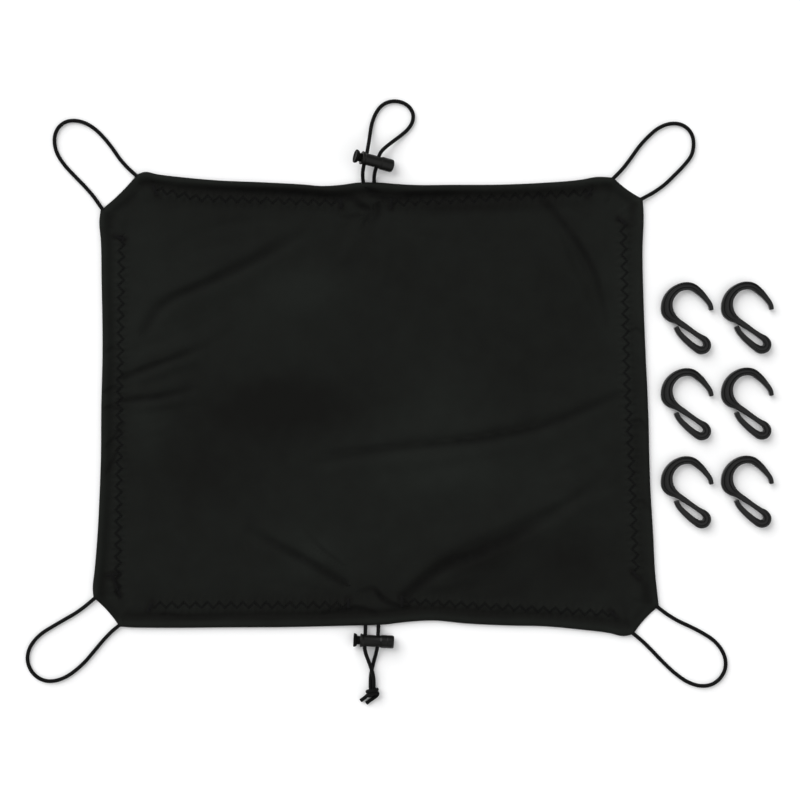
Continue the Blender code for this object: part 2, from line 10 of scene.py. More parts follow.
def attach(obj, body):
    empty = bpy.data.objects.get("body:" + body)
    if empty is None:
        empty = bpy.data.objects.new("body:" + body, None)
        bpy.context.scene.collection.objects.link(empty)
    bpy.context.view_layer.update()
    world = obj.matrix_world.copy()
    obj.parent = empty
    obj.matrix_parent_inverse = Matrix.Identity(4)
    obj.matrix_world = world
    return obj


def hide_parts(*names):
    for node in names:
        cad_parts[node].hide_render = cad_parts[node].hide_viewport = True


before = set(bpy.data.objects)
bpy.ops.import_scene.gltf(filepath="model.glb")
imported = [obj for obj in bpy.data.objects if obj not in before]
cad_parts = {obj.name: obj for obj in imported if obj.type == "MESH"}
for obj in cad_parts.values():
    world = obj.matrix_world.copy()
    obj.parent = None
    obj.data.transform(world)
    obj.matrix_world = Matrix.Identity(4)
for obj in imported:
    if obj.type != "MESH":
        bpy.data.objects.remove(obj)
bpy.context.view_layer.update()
mm = 0.001  # every size below is in millimetres, and meshes are made in metres

view = {"middle": (20.7, 3.4), "height": 1889.0, "lens": 100.0, "sensor": 36.0}
floorLook = {"reach": 6.0, "colour": (0.86, 0.86, 0.86), "roughness": 0.85, "specular": 0.1}
lightLook = {
    # name: where it comes from, strength, spread in degrees
    "key": ((-1.3, 1.5, 1.5), 2.8, 58.0),
    "fill": ((1.6, -1.0, 2.2), 1.1, 80.0),
}
skyLook = {"colour": (0.985, 0.99, 1.0), "strength": 0.44}


def linkObject(name, data):
    thing = bpy.data.objects.new(name, data)
    bpy.context.scene.collection.objects.link(thing)
    return thing


def setStage():
    lens = bpy.data.cameras.new("camera")
    lens.lens = view["lens"]
    lens.sensor_width = view["sensor"]
    lens.clip_end = 20.0
    camera = linkObject("camera", lens)
    camera.location = Vector((*view["middle"], view["height"])) * mm
    bpy.context.scene.camera = camera
    bpy.context.scene.view_settings.view_transform = "Standard"

    reach = floorLook["reach"]
    ground = bpy.data.meshes.new("floor")
    ground.from_pydata([(-reach, -reach, 0), (reach, -reach, 0), (reach, reach, 0), (-reach, reach, 0)],
                       [], [(0, 1, 2, 3)])
    floor = linkObject("floor", ground)
    paint = bpy.data.materials.new("floorPaint")
    paint.use_nodes = True
    coat = paint.node_tree.nodes["Principled BSDF"]
    coat.inputs["Base Color"].default_value = (*floorLook["colour"], 1.0)
    coat.inputs["Roughness"].default_value = floorLook["roughness"]
    coat.inputs["Specular IOR Level"].default_value = floorLook["specular"]
    ground.materials.append(paint)

    for name, (place, strength, spread) in lightLook.items():
        lamp = bpy.data.lights.new(name, "SUN")
        lamp.angle = math.radians(spread)
        lamp.energy = strength
        light = linkObject(name, lamp)
        light.location = place
        light.rotation_euler = Vector(place).to_track_quat("Z", "Y").to_euler()
    world = bpy.data.worlds.new("studio")
    world.use_nodes = True
    sky = world.node_tree.nodes["Background"]
    sky.inputs["Color"].default_value = (*skyLook["colour"], 1.0)
    sky.inputs["Strength"].default_value = skyLook["strength"]
    bpy.context.scene.world = world


setStage()
print("stage set")


class Wire:  # one socket of a node tree; sums on it become Math nodes
    def __init__(self, nodes, socket):
        self.nodes = nodes
        self.socket = socket

    def math(self, operation, *others):
        sockets = dict(enumerate((self, *others)))
        return self.nodes.node("ShaderNodeMath", {"operation": operation}, sockets)

    def __add__(self, other):
        return self.math("ADD", other)

    def __sub__(self, other):
        return self.math("SUBTRACT", other)

    def __rsub__(self, other):
        return self.nodes.node("ShaderNodeMath", {"operation": "SUBTRACT"}, {0: other, 1: self})

    def __mul__(self, other):
        return self.math("MULTIPLY", other)

    def __truediv__(self, other):
        return self.math("DIVIDE", other)

    def __gt__(self, other):
        return self.math("GREATER_THAN", other)

    def __abs__(self):
        return self.math("ABSOLUTE")

    __radd__ = __add__
    __rmul__ = __mul__

    def sine(self):
        return self.math("SINE")


class Nodes:  # the nodes of one tree
    def __init__(self, tree):
        self.tree = tree

    def node(self, kind, settings=None, sockets=None, out=0):
        made = self.tree.nodes.new(kind)
        for name, value in (settings or {}).items():
            setattr(made, name, value)
        for name, value in (sockets or {}).items():
            self.feed(made.inputs[name], value)
        return Wire(self, made.outputs[out])

    def feed(self, socket, value):
        if isinstance(value, Wire):
            self.tree.links.new(value.socket, socket)
        else:
            socket.default_value = value


class Finish(Nodes):
    def __init__(self, name, specular):
        self.material = bpy.data.materials.new(name)
        self.material.use_nodes = True
        super().__init__(self.material.node_tree)
        self.surface = self.tree.nodes["Principled BSDF"]
        self.surface.inputs["Specular IOR Level"].default_value = specular

    def place(self):  # object coordinates
        return self.node("ShaderNodeTexCoord", out=3)

    def uv(self, layer):
        return self.axes(self.node("ShaderNodeUVMap", {"uv_map": layer}))

    def axes(self, vector):  # its first and its second number
        first = self.node("ShaderNodeSeparateXYZ", None, {0: vector})
        return first, Wire(self, first.socket.node.outputs[1])

    def between(self, low, high, value):  # 0 below low, 1 above high, eased between
        return self.node("ShaderNodeMapRange", {"interpolation_type": "SMOOTHSTEP"},
                         {"Value": value, "From Min": low, "From Max": high})

    def cloud(self, place, scale, detail=2.0, roughness=0.5):
        return self.node("ShaderNodeTexNoise", None,
                         {"Vector": place, "Scale": scale, "Detail": detail, "Roughness": roughness})

    def blendColour(self, share, low, high):
        low, high = (end if isinstance(end, Wire) else (*end, 1.0) for end in (low, high))
        return self.node("ShaderNodeMix", {"data_type": "RGBA"}, {0: share, 6: low, 7: high}, out=2)

    def paint(self, colour, roughness, height):  # height in metres
        bump = self.node("ShaderNodeBump", None, {"Height": height, "Strength": 1.0, "Distance": 1.0})
        for socket, value in (("Base Color", colour), ("Roughness", roughness), ("Normal", bump)):
            self.feed(self.surface.inputs[socket], value)
        return self.material


clothLook = {
    "dark": (0.0037, 0.0038, 0.0032), "pale": (0.0088, 0.0102, 0.0087), "specular": 0.1,
    "lint": (0.09, 0.09, 0.085), "lintScale": 21.0, "lintRarity": 0.93,
    "rib": 0.62, "course": 0.48, "ribHeight": 0.05,
    "seamReach": 1.5, "seamDip": 0.42, "needleDip": 0.2, "seamShade": 0.5,
    "creaseDip": 0.6, "creaseShade": 0.42, "gatherPitch": 6.3, "gatherRise": 0.22,
    "zigzag": {"period": 10.0, "swing": 2.45, "stitches": 3},
}


def clothFinish():
    finish = Finish("stretchCloth", clothLook["specular"])
    place = finish.place()
    fuzz = finish.cloud(place, 1500.0)
    drift = finish.cloud(place, 9.0, 3.0, 0.55)
    mottle = finish.cloud(place, 60.0, 3.0, 0.6)
    wander = finish.cloud(place, 45.0) * 9.0  # no run of yarns is quite straight
    x, y = finish.axes(place)
    rib = (x * (math.tau / (clothLook["rib"] * mm)) + wander).sine()
    course = (y * (math.tau / (clothLook["course"] * mm)) + wander + rib * 0.9).sine()
    knit = rib * 0.6 + course * 0.4
    # the attribute's first number says where the cloth is sewn; its second is painted light and shade: pale
    # patches where folds face the light, painted shade in troughs, beside creases and round the bar tacks
    sewn, paintedLightShade = finish.axes(finish.node("ShaderNodeAttribute", {"attribute_name": "sewnAndPaintedLight"}, out=1))
    share = (drift - 0.5) * 0.7 + (mottle - 0.5) * 0.5 + knit * 0.05 + paintedLightShade * 0.85 + 0.5
    colour = finish.blendColour(share, clothLook["dark"], clothLook["pale"])

    # a few bits of lint
    spots = {"Vector": place, "Scale": clothLook["lintScale"], "Randomness": 1.0}
    speck, draw = (finish.node("ShaderNodeTexVoronoi", None, spots, out=out) for out in (0, 1))
    chosen = finish.axes(draw)[0] > clothLook["lintRarity"]
    lint = (1 - finish.between(0.006, 0.016, speck)) * chosen
    colour = finish.blendColour(lint, colour, clothLook["lint"])

    # the seam pulls the cloth down along its zigzag, most of all where the needle went in
    along, across = finish.uv("seam")
    zigzag = clothLook["zigzag"]
    turn = (along / zigzag["period"]).math("PINGPONG", 0.5) * 4.0 - 1.0
    off = abs(across - turn * zigzag["swing"]) * 0.71
    dip = (1 - finish.between(0.15, clothLook["seamReach"], off)) * sewn
    needle = (along * (math.tau * 2 * zigzag["stitches"] / zigzag["period"])).math("COSINE") * 0.5 + 0.5
    beside = (1 - finish.between(3.0, 10.0, abs(across))) * sewn  # and it gathers the cloth beside it
    gather = (along * (math.tau / clothLook["gatherPitch"]) + mottle * 6.0).sine() * beside

    # sharp lines in the bottoms of the folds and tucks: painted shade in the colour and a dip in the height
    aside, strength = finish.uv("crease")
    broken = finish.cloud(place, 120.0) * 1.7 + 0.15
    line = (1 - finish.between(0.0, 1.9, abs(aside))) * strength * broken
    # painted shade along the crease lines and in the seam's dip
    shade = (1 - line * clothLook["creaseShade"]) * (1 - dip * clothLook["seamShade"])
    colour = finish.node("ShaderNodeVectorMath", {"operation": "SCALE"}, {0: colour, 3: shade})
    sunk = dip * (needle * clothLook["needleDip"] + clothLook["seamDip"])
    height = (knit * clothLook["ribHeight"] + fuzz * 0.05 - line * clothLook["creaseDip"]
              + gather * clothLook["gatherRise"] - sunk) * mm
    return finish.paint(colour, 0.82 + fuzz * 0.12, height)


cordLook = {"dark": (0.001, 0.001, 0.001), "pale": (0.0048, 0.0048, 0.0049), "specular": 0.07,
            "around": 8.0, "pitch": 1.8, "strandHeight": 0.16}


def cordFinish():
    finish = Finish("braidedCord", cordLook["specular"])
    around, along = finish.uv("lie")
    around, along = around * cordLook["around"], along / cordLook["pitch"]
    rising, falling = (lean * math.pi for lean in (around + along, around - along))
    over = finish.between(-0.25, 0.25, rising.sine() * falling.sine())
    yarns = (rising * 4.0).sine() * over + (falling * 4.0).sine() * (1 - over)
    hump = abs(falling.sine()) * over + abs(rising.sine()) * (1 - over)
    fuzz = finish.cloud(finish.place(), 2600.0)
    # strand crests painted paler and the gaps between them darker: painted highlight and painted shade
    colour = finish.blendColour(hump * 0.7 + yarns * 0.12 + fuzz * 0.15, cordLook["dark"], cordLook["pale"])
    height = (hump * cordLook["strandHeight"] + yarns * 0.03 + fuzz * 0.05) * mm
    return finish.paint(colour, 0.68 - hump * 0.2, height)


plasticLook = {
    # dark and pale, how much it shines, roughness, grain
    "barrel": ((0.0022, 0.0022, 0.0019), (0.0048, 0.0048, 0.0042), 0.17, 0.28, 0.01),
    "plunger": ((0.002, 0.002, 0.0018), (0.004, 0.004, 0.0037), 0.04, 0.4, 0.01),
    "hook": ((0.0028, 0.0028, 0.0028), (0.0066, 0.0066, 0.0066), 0.24, 0.28, 0.015),
}


def plasticFinish(part):
    dark, pale, specular, rough, grain = plasticLook[part]
    finish = Finish(part + "Plastic", specular)
    place = finish.place()
    drift = finish.cloud(place, 70.0, 3.0)
    skin = finish.cloud(place, 2400.0)
    scuffs = finish.node("ShaderNodeMapping", None, {"Vector": place, "Rotation": (0.4, 0.2, 0.7),
                                                    "Scale": (260.0, 2600.0, 900.0)})
    scuff = finish.between(0.62, 0.74, finish.cloud(scuffs, 1.0, 3.0))
    colour = finish.blendColour(drift * 0.7 + scuff * 0.3, dark, pale)
    return finish.paint(colour, rough + drift * 0.12 + scuff * 0.1, (skin * grain + scuff * 0.01) * mm)


threadLook = {"dark": (0.0012, 0.0012, 0.0013), "pale": (0.0045, 0.0045, 0.0046), "specular": 0.1}


def threadFinish():
    finish = Finish("seamThread", threadLook["specular"])
    twist = finish.cloud(finish.place(), 3200.0)
    colour = finish.blendColour(twist, threadLook["dark"], threadLook["pale"])
    return finish.paint(colour, 0.6 + twist * 0.2, twist * 0.05 * mm)


finishes = {"cloth": clothFinish(), "cord": cordFinish(), "thread": threadFinish()}
finishes.update((part, plasticFinish(part)) for part in plasticLook)
print("finishes made")


def smoothPath(points, parts):  # through every point, parts[i] steps between point i and the next
    points = np.asarray(points, dtype=float)
    gaps = np.linalg.norm(np.diff(points[:, :2], axis=0), axis=1)
    slopes = np.diff(points, axis=0) / gaps[:, None]
    tangents = np.empty_like(points)
    tangents[0], tangents[-1] = slopes[0], slopes[-1]
    before, after = gaps[:-1, None], gaps[1:, None]
    tangents[1:-1] = (slopes[:-1] * after + slopes[1:] * before) / (before + after)
    path = []
    for index, steps in enumerate(parts):
        for step in range(steps):
            t = step / steps
            path.append((2 * t**3 - 3 * t**2 + 1) * points[index]
                        + (3 * t**2 - 2 * t**3) * points[index + 1]
                        + (t**3 - 2 * t**2 + t) * gaps[index] * tangents[index]
                        + (t**3 - t**2) * gaps[index] * tangents[index + 1])
    path.append(points[-1])
    return np.array(path)


def smoothRoute(points, steps=6):
    return smoothPath(points, [steps] * (len(points) - 1))


def evenly(path, step=None, cells=None):  # the same line in steps of equal length
    path = np.asarray(path, dtype=float)
    along = np.concatenate(([0.0], np.cumsum(np.linalg.norm(np.diff(path, axis=0), axis=1))))
    cells = cells or max(2, round(along[-1] / step))
    wanted = np.linspace(0.0, along[-1], cells + 1)
    return np.stack([np.interp(wanted, along, path[:, axis]) for axis in range(path.shape[1])], axis=1)


def lengthOf(path):
    return float(np.linalg.norm(np.diff(np.asarray(path), axis=0), axis=1).sum())


def eased(path, passes):
    path = np.array(path, dtype=float)
    for _ in range(passes):
        path[1:-1] = 0.5 * path[1:-1] + 0.25 * (path[:-2] + path[2:])
    return path


def braidTube(path, radius, sides, closed=False, cutFlare=0.0):
    # points, faces and lie (share round, millimetres along) of a braided cord along a path
    path = [Vector(place) for place in path]
    count = len(path)
    points, faces, lies = [], [], []
    side = Vector((0.0, 0.0, 1.0))
    along = 0.0
    starts, aheads = [], []
    for index, place in enumerate(path):
        if closed:
            ahead = (path[(index + 1) % count] - path[index - 1]).normalized()
        else:
            ahead = (path[min(index + 1, count - 1)] - path[max(index - 1, 0)]).normalized()
        if abs(side.dot(ahead)) > 0.95:
            side = Vector((0.0, 1.0, 0.0))
        side = (side - ahead * side.dot(ahead)).normalized()
        up = ahead.cross(side)
        grown = radius * (1.0 + cutFlare * max(0.0, 1.0 - (count - 1 - index) / 3.0))
        for step in range(sides):
            angle = math.tau * step / sides
            high = 1.0 + cordSize["relief"] * (1 if (step + index) % 2 else -1)
            points.append(place + (side * math.cos(angle) + up * math.sin(angle)) * grown * high)
        if index:
            along += (place - path[index - 1]).length
        starts.append(along)
        aheads.append(ahead)
    rings = count if closed else count - 1
    for ring in range(rings):
        after = (ring + 1) % count
        near, far = ring * sides, after * sides
        endAlong = starts[after] if after else starts[ring] + (path[0] - path[ring]).length
        for step in range(sides):
            beside = (step + 1) % sides
            faces.append((near + step, near + beside, far + beside, far + step))
            low, high = step / sides, (step + 1) / sides
            lies.append(((low, starts[ring]), (high, starts[ring]), (high, endAlong), (low, endAlong)))
    if not closed:
        for end, sign in ((0, -1.0), (count - 1, 1.0)):
            base = end * sides
            inner = len(points)
            outwards = aheads[end] * sign * radius
            for step in range(sides):
                points.append(path[end] + (points[base + step] - path[end]) * 0.72 + outwards * 0.2)
            points.append(path[end] + outwards * 0.26)
            pole = len(points) - 1
            for step in range(sides):
                beside = (step + 1) % sides
                ring = (base + step, inner + step, inner + beside, base + beside)
                cap = (inner + step, pole, inner + beside)
                faces.append(ring if sign < 0 else tuple(reversed(ring)))
                faces.append(cap if sign < 0 else tuple(reversed(cap)))
                lies.append(((step / sides, starts[end]),) * 4)
                lies.append(((step / sides, starts[end]),) * 3)
    return points, faces, lies


def makeMesh(name, points, faces, material, lies=None, sharp=None):
    mesh = bpy.data.meshes.new(name)
    mesh.from_pydata([Vector(point) * mm for point in points], [], faces)
    if lies is not None:
        layer = mesh.uv_layers.new(name="lie")
        layer.data.foreach_set("uv", [value for face in lies for pair in face for value in pair])
    work = bmesh.new()
    work.from_mesh(mesh)
    bmesh.ops.recalc_face_normals(work, faces=work.faces)
    work.to_mesh(mesh)
    work.free()
    mesh.shade_smooth()
    if sharp is not None:
        mesh.set_sharp_from_angle(angle=math.radians(sharp))
    mesh.materials.append(material)
    return linkObject(name, mesh)


def plainMesh(thing, name):  # what its modifiers make of it, as a mesh alone
    bpy.context.view_layer.update()
    made = bpy.data.meshes.new_from_object(thing.evaluated_get(bpy.context.evaluated_depsgraph_get()))
    bpy.data.objects.remove(thing)
    made.name = name
    return made


cordSize = {"diameter": 3.2, "step": 0.9, "sides": 16, "relief": 0.035, "tuck": 3.5, "hemHeight": 2.6,
            "easePasses": 6}
cordRoutes = {
    "corner_loop_top_left": (
        (-203.9, 194.5, 2.5), (-210.6, 200.6, 1.9), (-217.4, 208.3, 1.6), (-223.5, 217.1, 1.6),
        (-230.5, 225.8, 1.6), (-238.0, 233.2, 1.6), (-246.4, 238.5, 1.6), (-255.3, 240.7, 1.6),
        (-262.7, 239.8, 1.6), (-268.7, 235.6, 1.6), (-272.2, 229.0, 1.6), (-272.7, 221.3, 1.6),
        (-270.6, 213.0, 1.6), (-265.0, 204.0, 1.6), (-256.6, 194.6, 1.6), (-247.5, 185.3, 1.6),
        (-239.4, 176.0, 1.9), (-232.6, 166.4, 2.5),
    ),
    "corner_loop_top_right": (
        (202.8, 192.5, 2.5), (209.3, 199.2, 1.9), (217.0, 209.1, 1.6), (224.4, 219.3, 1.6),
        (231.5, 227.0, 1.6), (239.8, 234.0, 1.6), (249.4, 237.9, 1.6), (258.0, 237.8, 1.6),
        (264.8, 234.2, 1.6), (269.0, 227.9, 1.6), (270.0, 219.4, 1.6), (268.1, 210.9, 1.6),
        (262.8, 203.7, 1.6), (254.2, 194.7, 1.6), (244.9, 185.9, 1.6), (235.6, 179.4, 1.9),
        (227.2, 174.7, 2.5),
    ),
    "corner_loop_bottom_left": (
        (-239.2, -165.5, 2.5), (-246.5, -171.6, 1.9), (-254.2, -177.2, 1.6), (-263.9, -182.9, 1.6),
        (-274.3, -189.0, 1.6), (-283.0, -194.5, 1.6), (-290.4, -201.7, 1.6), (-294.5, -208.9, 1.6),
        (-295.7, -217.1, 1.6), (-293.3, -225.3, 1.6), (-287.9, -231.6, 1.6), (-280.7, -235.0, 1.6),
        (-272.7, -235.1, 1.6), (-263.9, -232.2, 1.6), (-255.1, -226.4, 1.6), (-247.1, -219.2, 1.6),
        (-239.0, -209.8, 1.6), (-230.6, -199.9, 1.6), (-224.1, -193.2, 1.9), (-218.4, -188.5, 2.5),
    ),
    "corner_loop_bottom_right": (
        (240.0, -172.8, 2.5), (246.6, -177.9, 1.9), (256.9, -184.2, 1.6), (267.1, -189.0, 1.6),
        (277.6, -194.5, 1.6), (287.2, -200.9, 1.6), (294.2, -209.4, 1.6), (297.2, -218.2, 1.6),
        (296.6, -225.8, 1.6), (292.1, -233.5, 1.6), (284.4, -238.6, 1.6), (276.0, -239.4, 1.6),
        (265.6, -236.3, 1.6), (255.2, -229.4, 1.6), (244.8, -219.9, 1.6), (234.1, -208.8, 1.6),
        (225.9, -200.8, 1.9), (219.4, -195.4, 2.5),
    ),
    "lock_loop_top": (
        (-10.6, 188.6, 2.9), (-10.9, 191.6, 4.9), (-10.9, 195.4, 8.4), (-10.4, 199.0, 11.4),
        (-9.7, 202.0, 12.5), (-8.4, 207.1, 12.5), (-7.1, 212.4, 12.4), (-6.4, 216.8, 11.0),
        (-5.6, 222.0, 7.7), (-4.7, 229.0, 4.0), (-3.0, 238.8, 1.8), (0.0, 246.5, 1.6),
        (4.5, 252.8, 1.6), (10.6, 256.4, 1.6), (16.8, 257.2, 1.6), (23.8, 255.6, 1.6),
        (29.4, 251.3, 1.6), (31.9, 245.7, 1.6), (31.5, 240.3, 1.6), (28.4, 234.5, 1.6),
        (22.6, 228.9, 2.1), (15.2, 223.1, 3.7), (8.2, 217.2, 6.6), (4.5, 213.2, 8.6),
        (2.8, 209.6, 9.1), (1.7, 204.7, 9.1), (0.6, 200.4, 9.1), (-0.3, 197.4, 8.2),
        (-1.1, 193.8, 5.6), (-1.3, 188.6, 2.9),
    ),
    "cord_tail_left": (
        (-8.6, -188.4, 2.9), (-8.7, -191.8, 4.3), (-8.8, -195.0, 5.6), (-8.9, -197.2, 5.7),
        (-9.2, -203.6, 5.7), (-9.3, -206.6, 5.8), (-8.5, -210.9, 5.9), (-6.8, -215.7, 6.0),
        (-4.9, -220.5, 5.9), (-3.3, -225.4, 5.5), (-2.1, -229.8, 4.8), (-1.6, -234.0, 4.0),
        (-1.5, -238.0, 3.9), (-1.6, -240.8, 3.9),
    ),
    "cord_tail_right": (
        (2.4, -187.9, 2.9), (2.3, -191.6, 4.2), (2.1, -194.8, 5.5), (2.0, -197.2, 5.6),
        (1.6, -204.6, 5.6), (1.3, -207.4, 5.3), (0.5, -210.9, 4.2), (-0.8, -215.8, 2.3),
        (-2.1, -220.8, 1.6), (-3.2, -225.4, 1.6), (-4.0, -229.8, 1.6), (-4.3, -234.0, 1.6),
        (-4.4, -238.0, 1.7), (-4.4, -241.0, 2.0),
    ),
}
knotLook = {
    "middle": (-2.9, -244.8, 4.3),
    "turns": ({"reach": 4.1, "rise": 2.9, "forward": 1.75, "slant": 0.9},
              {"reach": 3.9, "rise": 2.5, "forward": -0.95, "slant": 1.2}),
    "strands": (
        ((1.3, 4.4, -0.4), (1.2, 2.4, -0.6), (0.9, -0.6, -0.5), (-0.8, -2.6, -0.4), (-3.2, -2.7, 0.2)),
        ((-1.5, 4.3, -2.1), (-1.2, 2.0, -1.8), (0.8, -0.4, -1.4), (2.4, -1.8, -0.8), (3.4, -1.0, 0.4)),
        ((-1.6, 0.2, 0.2), (-3.2, -1.5, -0.4), (-5.0, -3.3, -1.4), (-7.4, -5.4, -2.3), (-9.6, -7.1, -2.6)),
        ((3.0, 1.2, 1.8), (4.9, -0.4, 0.9), (3.4, -3.0, -0.4), (1.0, -4.8, -1.5), (-1.9, -7.0, -2.3),
         (-4.9, -9.2, -2.6)),
    ),
    "sides": 14, "turnSteps": 26, "drawnIn": 0.97, "cutFlare": 0.07,
}


def cordPath(name):
    route = np.array(cordRoutes[name])
    gaps = np.linalg.norm(np.diff(route, axis=0), axis=1)
    line = smoothPath(route, [max(2, round(gap / 0.6)) for gap in gaps])

    def tucked(last, before):  # inside the hem it runs level
        end = last + (last - before) / np.linalg.norm(last - before) * cordSize["tuck"]
        end[2] = cordSize["hemHeight"]
        return end

    ends = [tucked(line[0], line[6])]
    if not name.startswith("cord_tail"):
        ends.append(tucked(line[-1], line[-7]))
    line = np.vstack([ends[0], line, *ends[1:]])
    line = eased(evenly(line, cordSize["step"]), cordSize["easePasses"])
    line[:, 2] = np.maximum(line[:, 2], cordSize["diameter"] / 2 * (1 + cordSize["relief"]) + 0.02)
    return line


def makeCords():
    made = {}
    for name in cordRoutes:
        path = cordPath(name)
        points, faces, lies = braidTube(path, cordSize["diameter"] / 2, cordSize["sides"])
        piece = makeMesh(name.replace("_", "-") + "-braid", points, faces, finishes["cord"], lies)
        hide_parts(name)
        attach(piece, "cover")
        made[name] = (piece, path)
    return made


def makeKnot():
    middle = np.array(knotLook["middle"])
    points, faces, lies = [], [], []
    tubes = []
    radius = cordSize["diameter"] / 2
    drawn = radius * knotLook["drawnIn"]
    for turn in knotLook["turns"]:
        angles = np.linspace(0, math.tau, knotLook["turnSteps"] + 1)[:-1]
        ring = np.column_stack([turn["reach"] * np.cos(angles),
                                turn["forward"] + turn["slant"] * np.cos(angles),
                                turn["rise"] * np.sin(angles)]) + middle
        tubes.append(braidTube(ring, drawn, knotLook["sides"], closed=True))
    for route in knotLook["strands"]:
        line = eased(evenly(smoothRoute(np.array(route) + middle), cordSize["step"]), 3)
        line[:, 2] = np.maximum(line[:, 2], radius + 0.05)
        tubes.append(braidTube(line, drawn, knotLook["sides"], cutFlare=knotLook["cutFlare"]))
    for tubePoints, tubeFaces, tubeLies in tubes:
        start = len(points)
        points.extend(tubePoints)
        faces.extend(tuple(index + start for index in face) for face in tubeFaces)
        lies.extend(tubeLies)
    knot = makeMesh("tail-knot-wound", points, faces, finishes["cord"], lies)
    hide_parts("tail_knot")
    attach(knot, "cover")
    return knot


cords = makeCords()
knot = makeKnot()
for name, (piece, path) in cords.items():
    [value * mm for value in cordRoutes[name][0]]
    lengthOf(path) * mm
    (path * mm).tolist()
    [knot] if name == "cord_tail_left" else []
print("cords laid:", ", ".join(f"{name} {lengthOf(path):.0f} mm" for name, (piece, path) in cords.items()))

panel = {
    "sides": {
        "top": (
            (-202.6, 194.9), (-197.0, 197.0), (-184.8, 195.0), (-161.9, 192.3), (-132.1, 189.8),
            (-96.5, 188.3), (-60.0, 186.3), (-45.6, 185.1), (-30.0, 186.0), (-15.0, 188.0),
            (3.7, 188.0), (17.3, 186.9), (33.4, 186.0), (63.0, 186.1), (105.5, 186.3),
            (142.9, 187.9), (173.5, 190.4), (189.0, 192.9), (201.7, 192.3),
        ),
        "right": (
            (226.8, 174.1), (227.5, 163.0), (226.6, 130.7), (227.3, 93.4), (229.1, 45.8),
            (231.3, -0.8), (233.4, -73.0), (235.7, -111.2), (237.5, -145.2), (239.2, -161.0),
            (240.4, -171.6),
        ),
        "bottom": (
            (218.8, -195.4), (211.0, -197.1), (198.9, -194.6), (173.5, -191.5), (145.4, -188.9),
            (109.8, -188.0), (75.8, -186.3), (50.4, -183.9), (20.7, -185.7), (10.5, -187.0),
            (-20.1, -188.1), (-72.7, -189.4), (-123.7, -189.7), (-191.6, -190.0),
            (-208.5, -189.7), (-217.5, -188.9),
        ),
        "left": (
            (-239.6, -164.4), (-240.2, -156.0), (-238.8, -142.6), (-235.9, -107.0), (-234.6, -81.5),
            (-233.3, -45.0), (-233.0, -5.1), (-231.9, 45.8), (-232.7, 105.3), (-233.4, 139.2),
            (-234.6, 156.0), (-233.5, 164.6),
        ),
    },
    "cells": {"top": 156, "right": 126, "bottom": 156, "left": 126},
    "cornerCells": 12,
    "thick": 1.2,
    "easePasses": 60,
    "mouthReach": 5.0,
    # painted shade beside the crease lines
    "creasePaintedShade": 0.32,
    "foldsReach": 30.0, "creasesStart": 6.0, "creasesReach": 20.0,
    # where the trough beside the cord is deepest: middle, reach, depth
    "topTroughs": ((-35, 45, 1.15), (-120, 60, 0.75), (32, 26, 1.15), (100, 50, 0.5)),
    "bottomTroughs": ((-30, 30, 0.7), (20, 16, 0.6)),
    "upperRow": 7,  # the hem's first row that belongs to the upper side
    # inset from the edge, height over the cord, height along a cut corner
    "hem": (
        (25.0, 0.0, 0.0), (16.0, 0.0, 0.0), (8.0, 0.0, 0.0), (3.2, 0.0, 0.0), (1.2, 0.4, 0.25),
        (0.3, 1.35, 0.65), (0.0, 2.35, 1.05), (0.3, 3.35, 1.5), (1.2, 4.3, 1.9), (2.6, 4.85, 2.15),
        (4.2, 4.65, 2.2), (5.8, 3.85, 2.05), (7.4, 2.8, 1.7), (8.8, 2.15, 1.45), (10.2, 2.0, 1.35),
        (11.8, 2.2, 1.3), (13.6, 2.35, 1.25), (15.4, 2.4, 1.2), (17.2, 2.3, 1.2), (19.0, 2.0, 1.2),
        (20.8, 1.55, 1.2), (22.8, 1.28, 1.2), (25.0, 1.2, 1.2),
    ),
}
folds = (
    # route, shoulder height, shoulder reach, valley reach, valley share
    (((-64, 144), (-103, 122), (-143, 103), (-184, 81), (-197, 62)), 4.2, 21.0, 5.5, 0.85),
    (((-212, 24), (-178, 36), (-143, 49)), 3.2, 13.0, 4.0, 0.85),
    (((-215, 3), (-185, 6), (-156, 13)), 3.2, 12.0, 4.0, 0.85),
    (((148, 165), (172, 118), (197, 68)), 4.0, 19.0, 5.0, 0.85),
    (((-46, -48), (20, -37), (99, -28), (146, -17), (206, 8)), 3.8, 20.0, 6.5, 0.85),
    (((30, -158), (55, -139), (105, -115), (149, -93), (193, -67)), 5.4, 22.0, 7.0, 0.85),
    (((-27, -152), (-71, -127), (-106, -108)), 4.0, 17.0, 5.5, 0.85),
    (((-24, 174), (-8, 166), (6, 158)), 3.0, 10.0, 4.0, 0.85),
)
swells = (
    # centre, half length, half width, turn, height
    (-58.0, 92.0, 46.0, 26.0, 22.0, 3.2),
    (-192.0, -22.0, 22.0, 30.0, 0.0, 3.0),
    (70.0, 12.0, 36.0, 24.0, 12.0, 2.8),
    (66.0, -66.0, 54.0, 20.0, 6.0, 3.2),
    (-62.0, -90.0, 44.0, 22.0, -30.0, 2.6),
    (120.0, 110.0, 40.0, 34.0, 60.0, 2.4),
    (-150.0, -110.0, 50.0, 34.0, 10.0, 2.2),
)
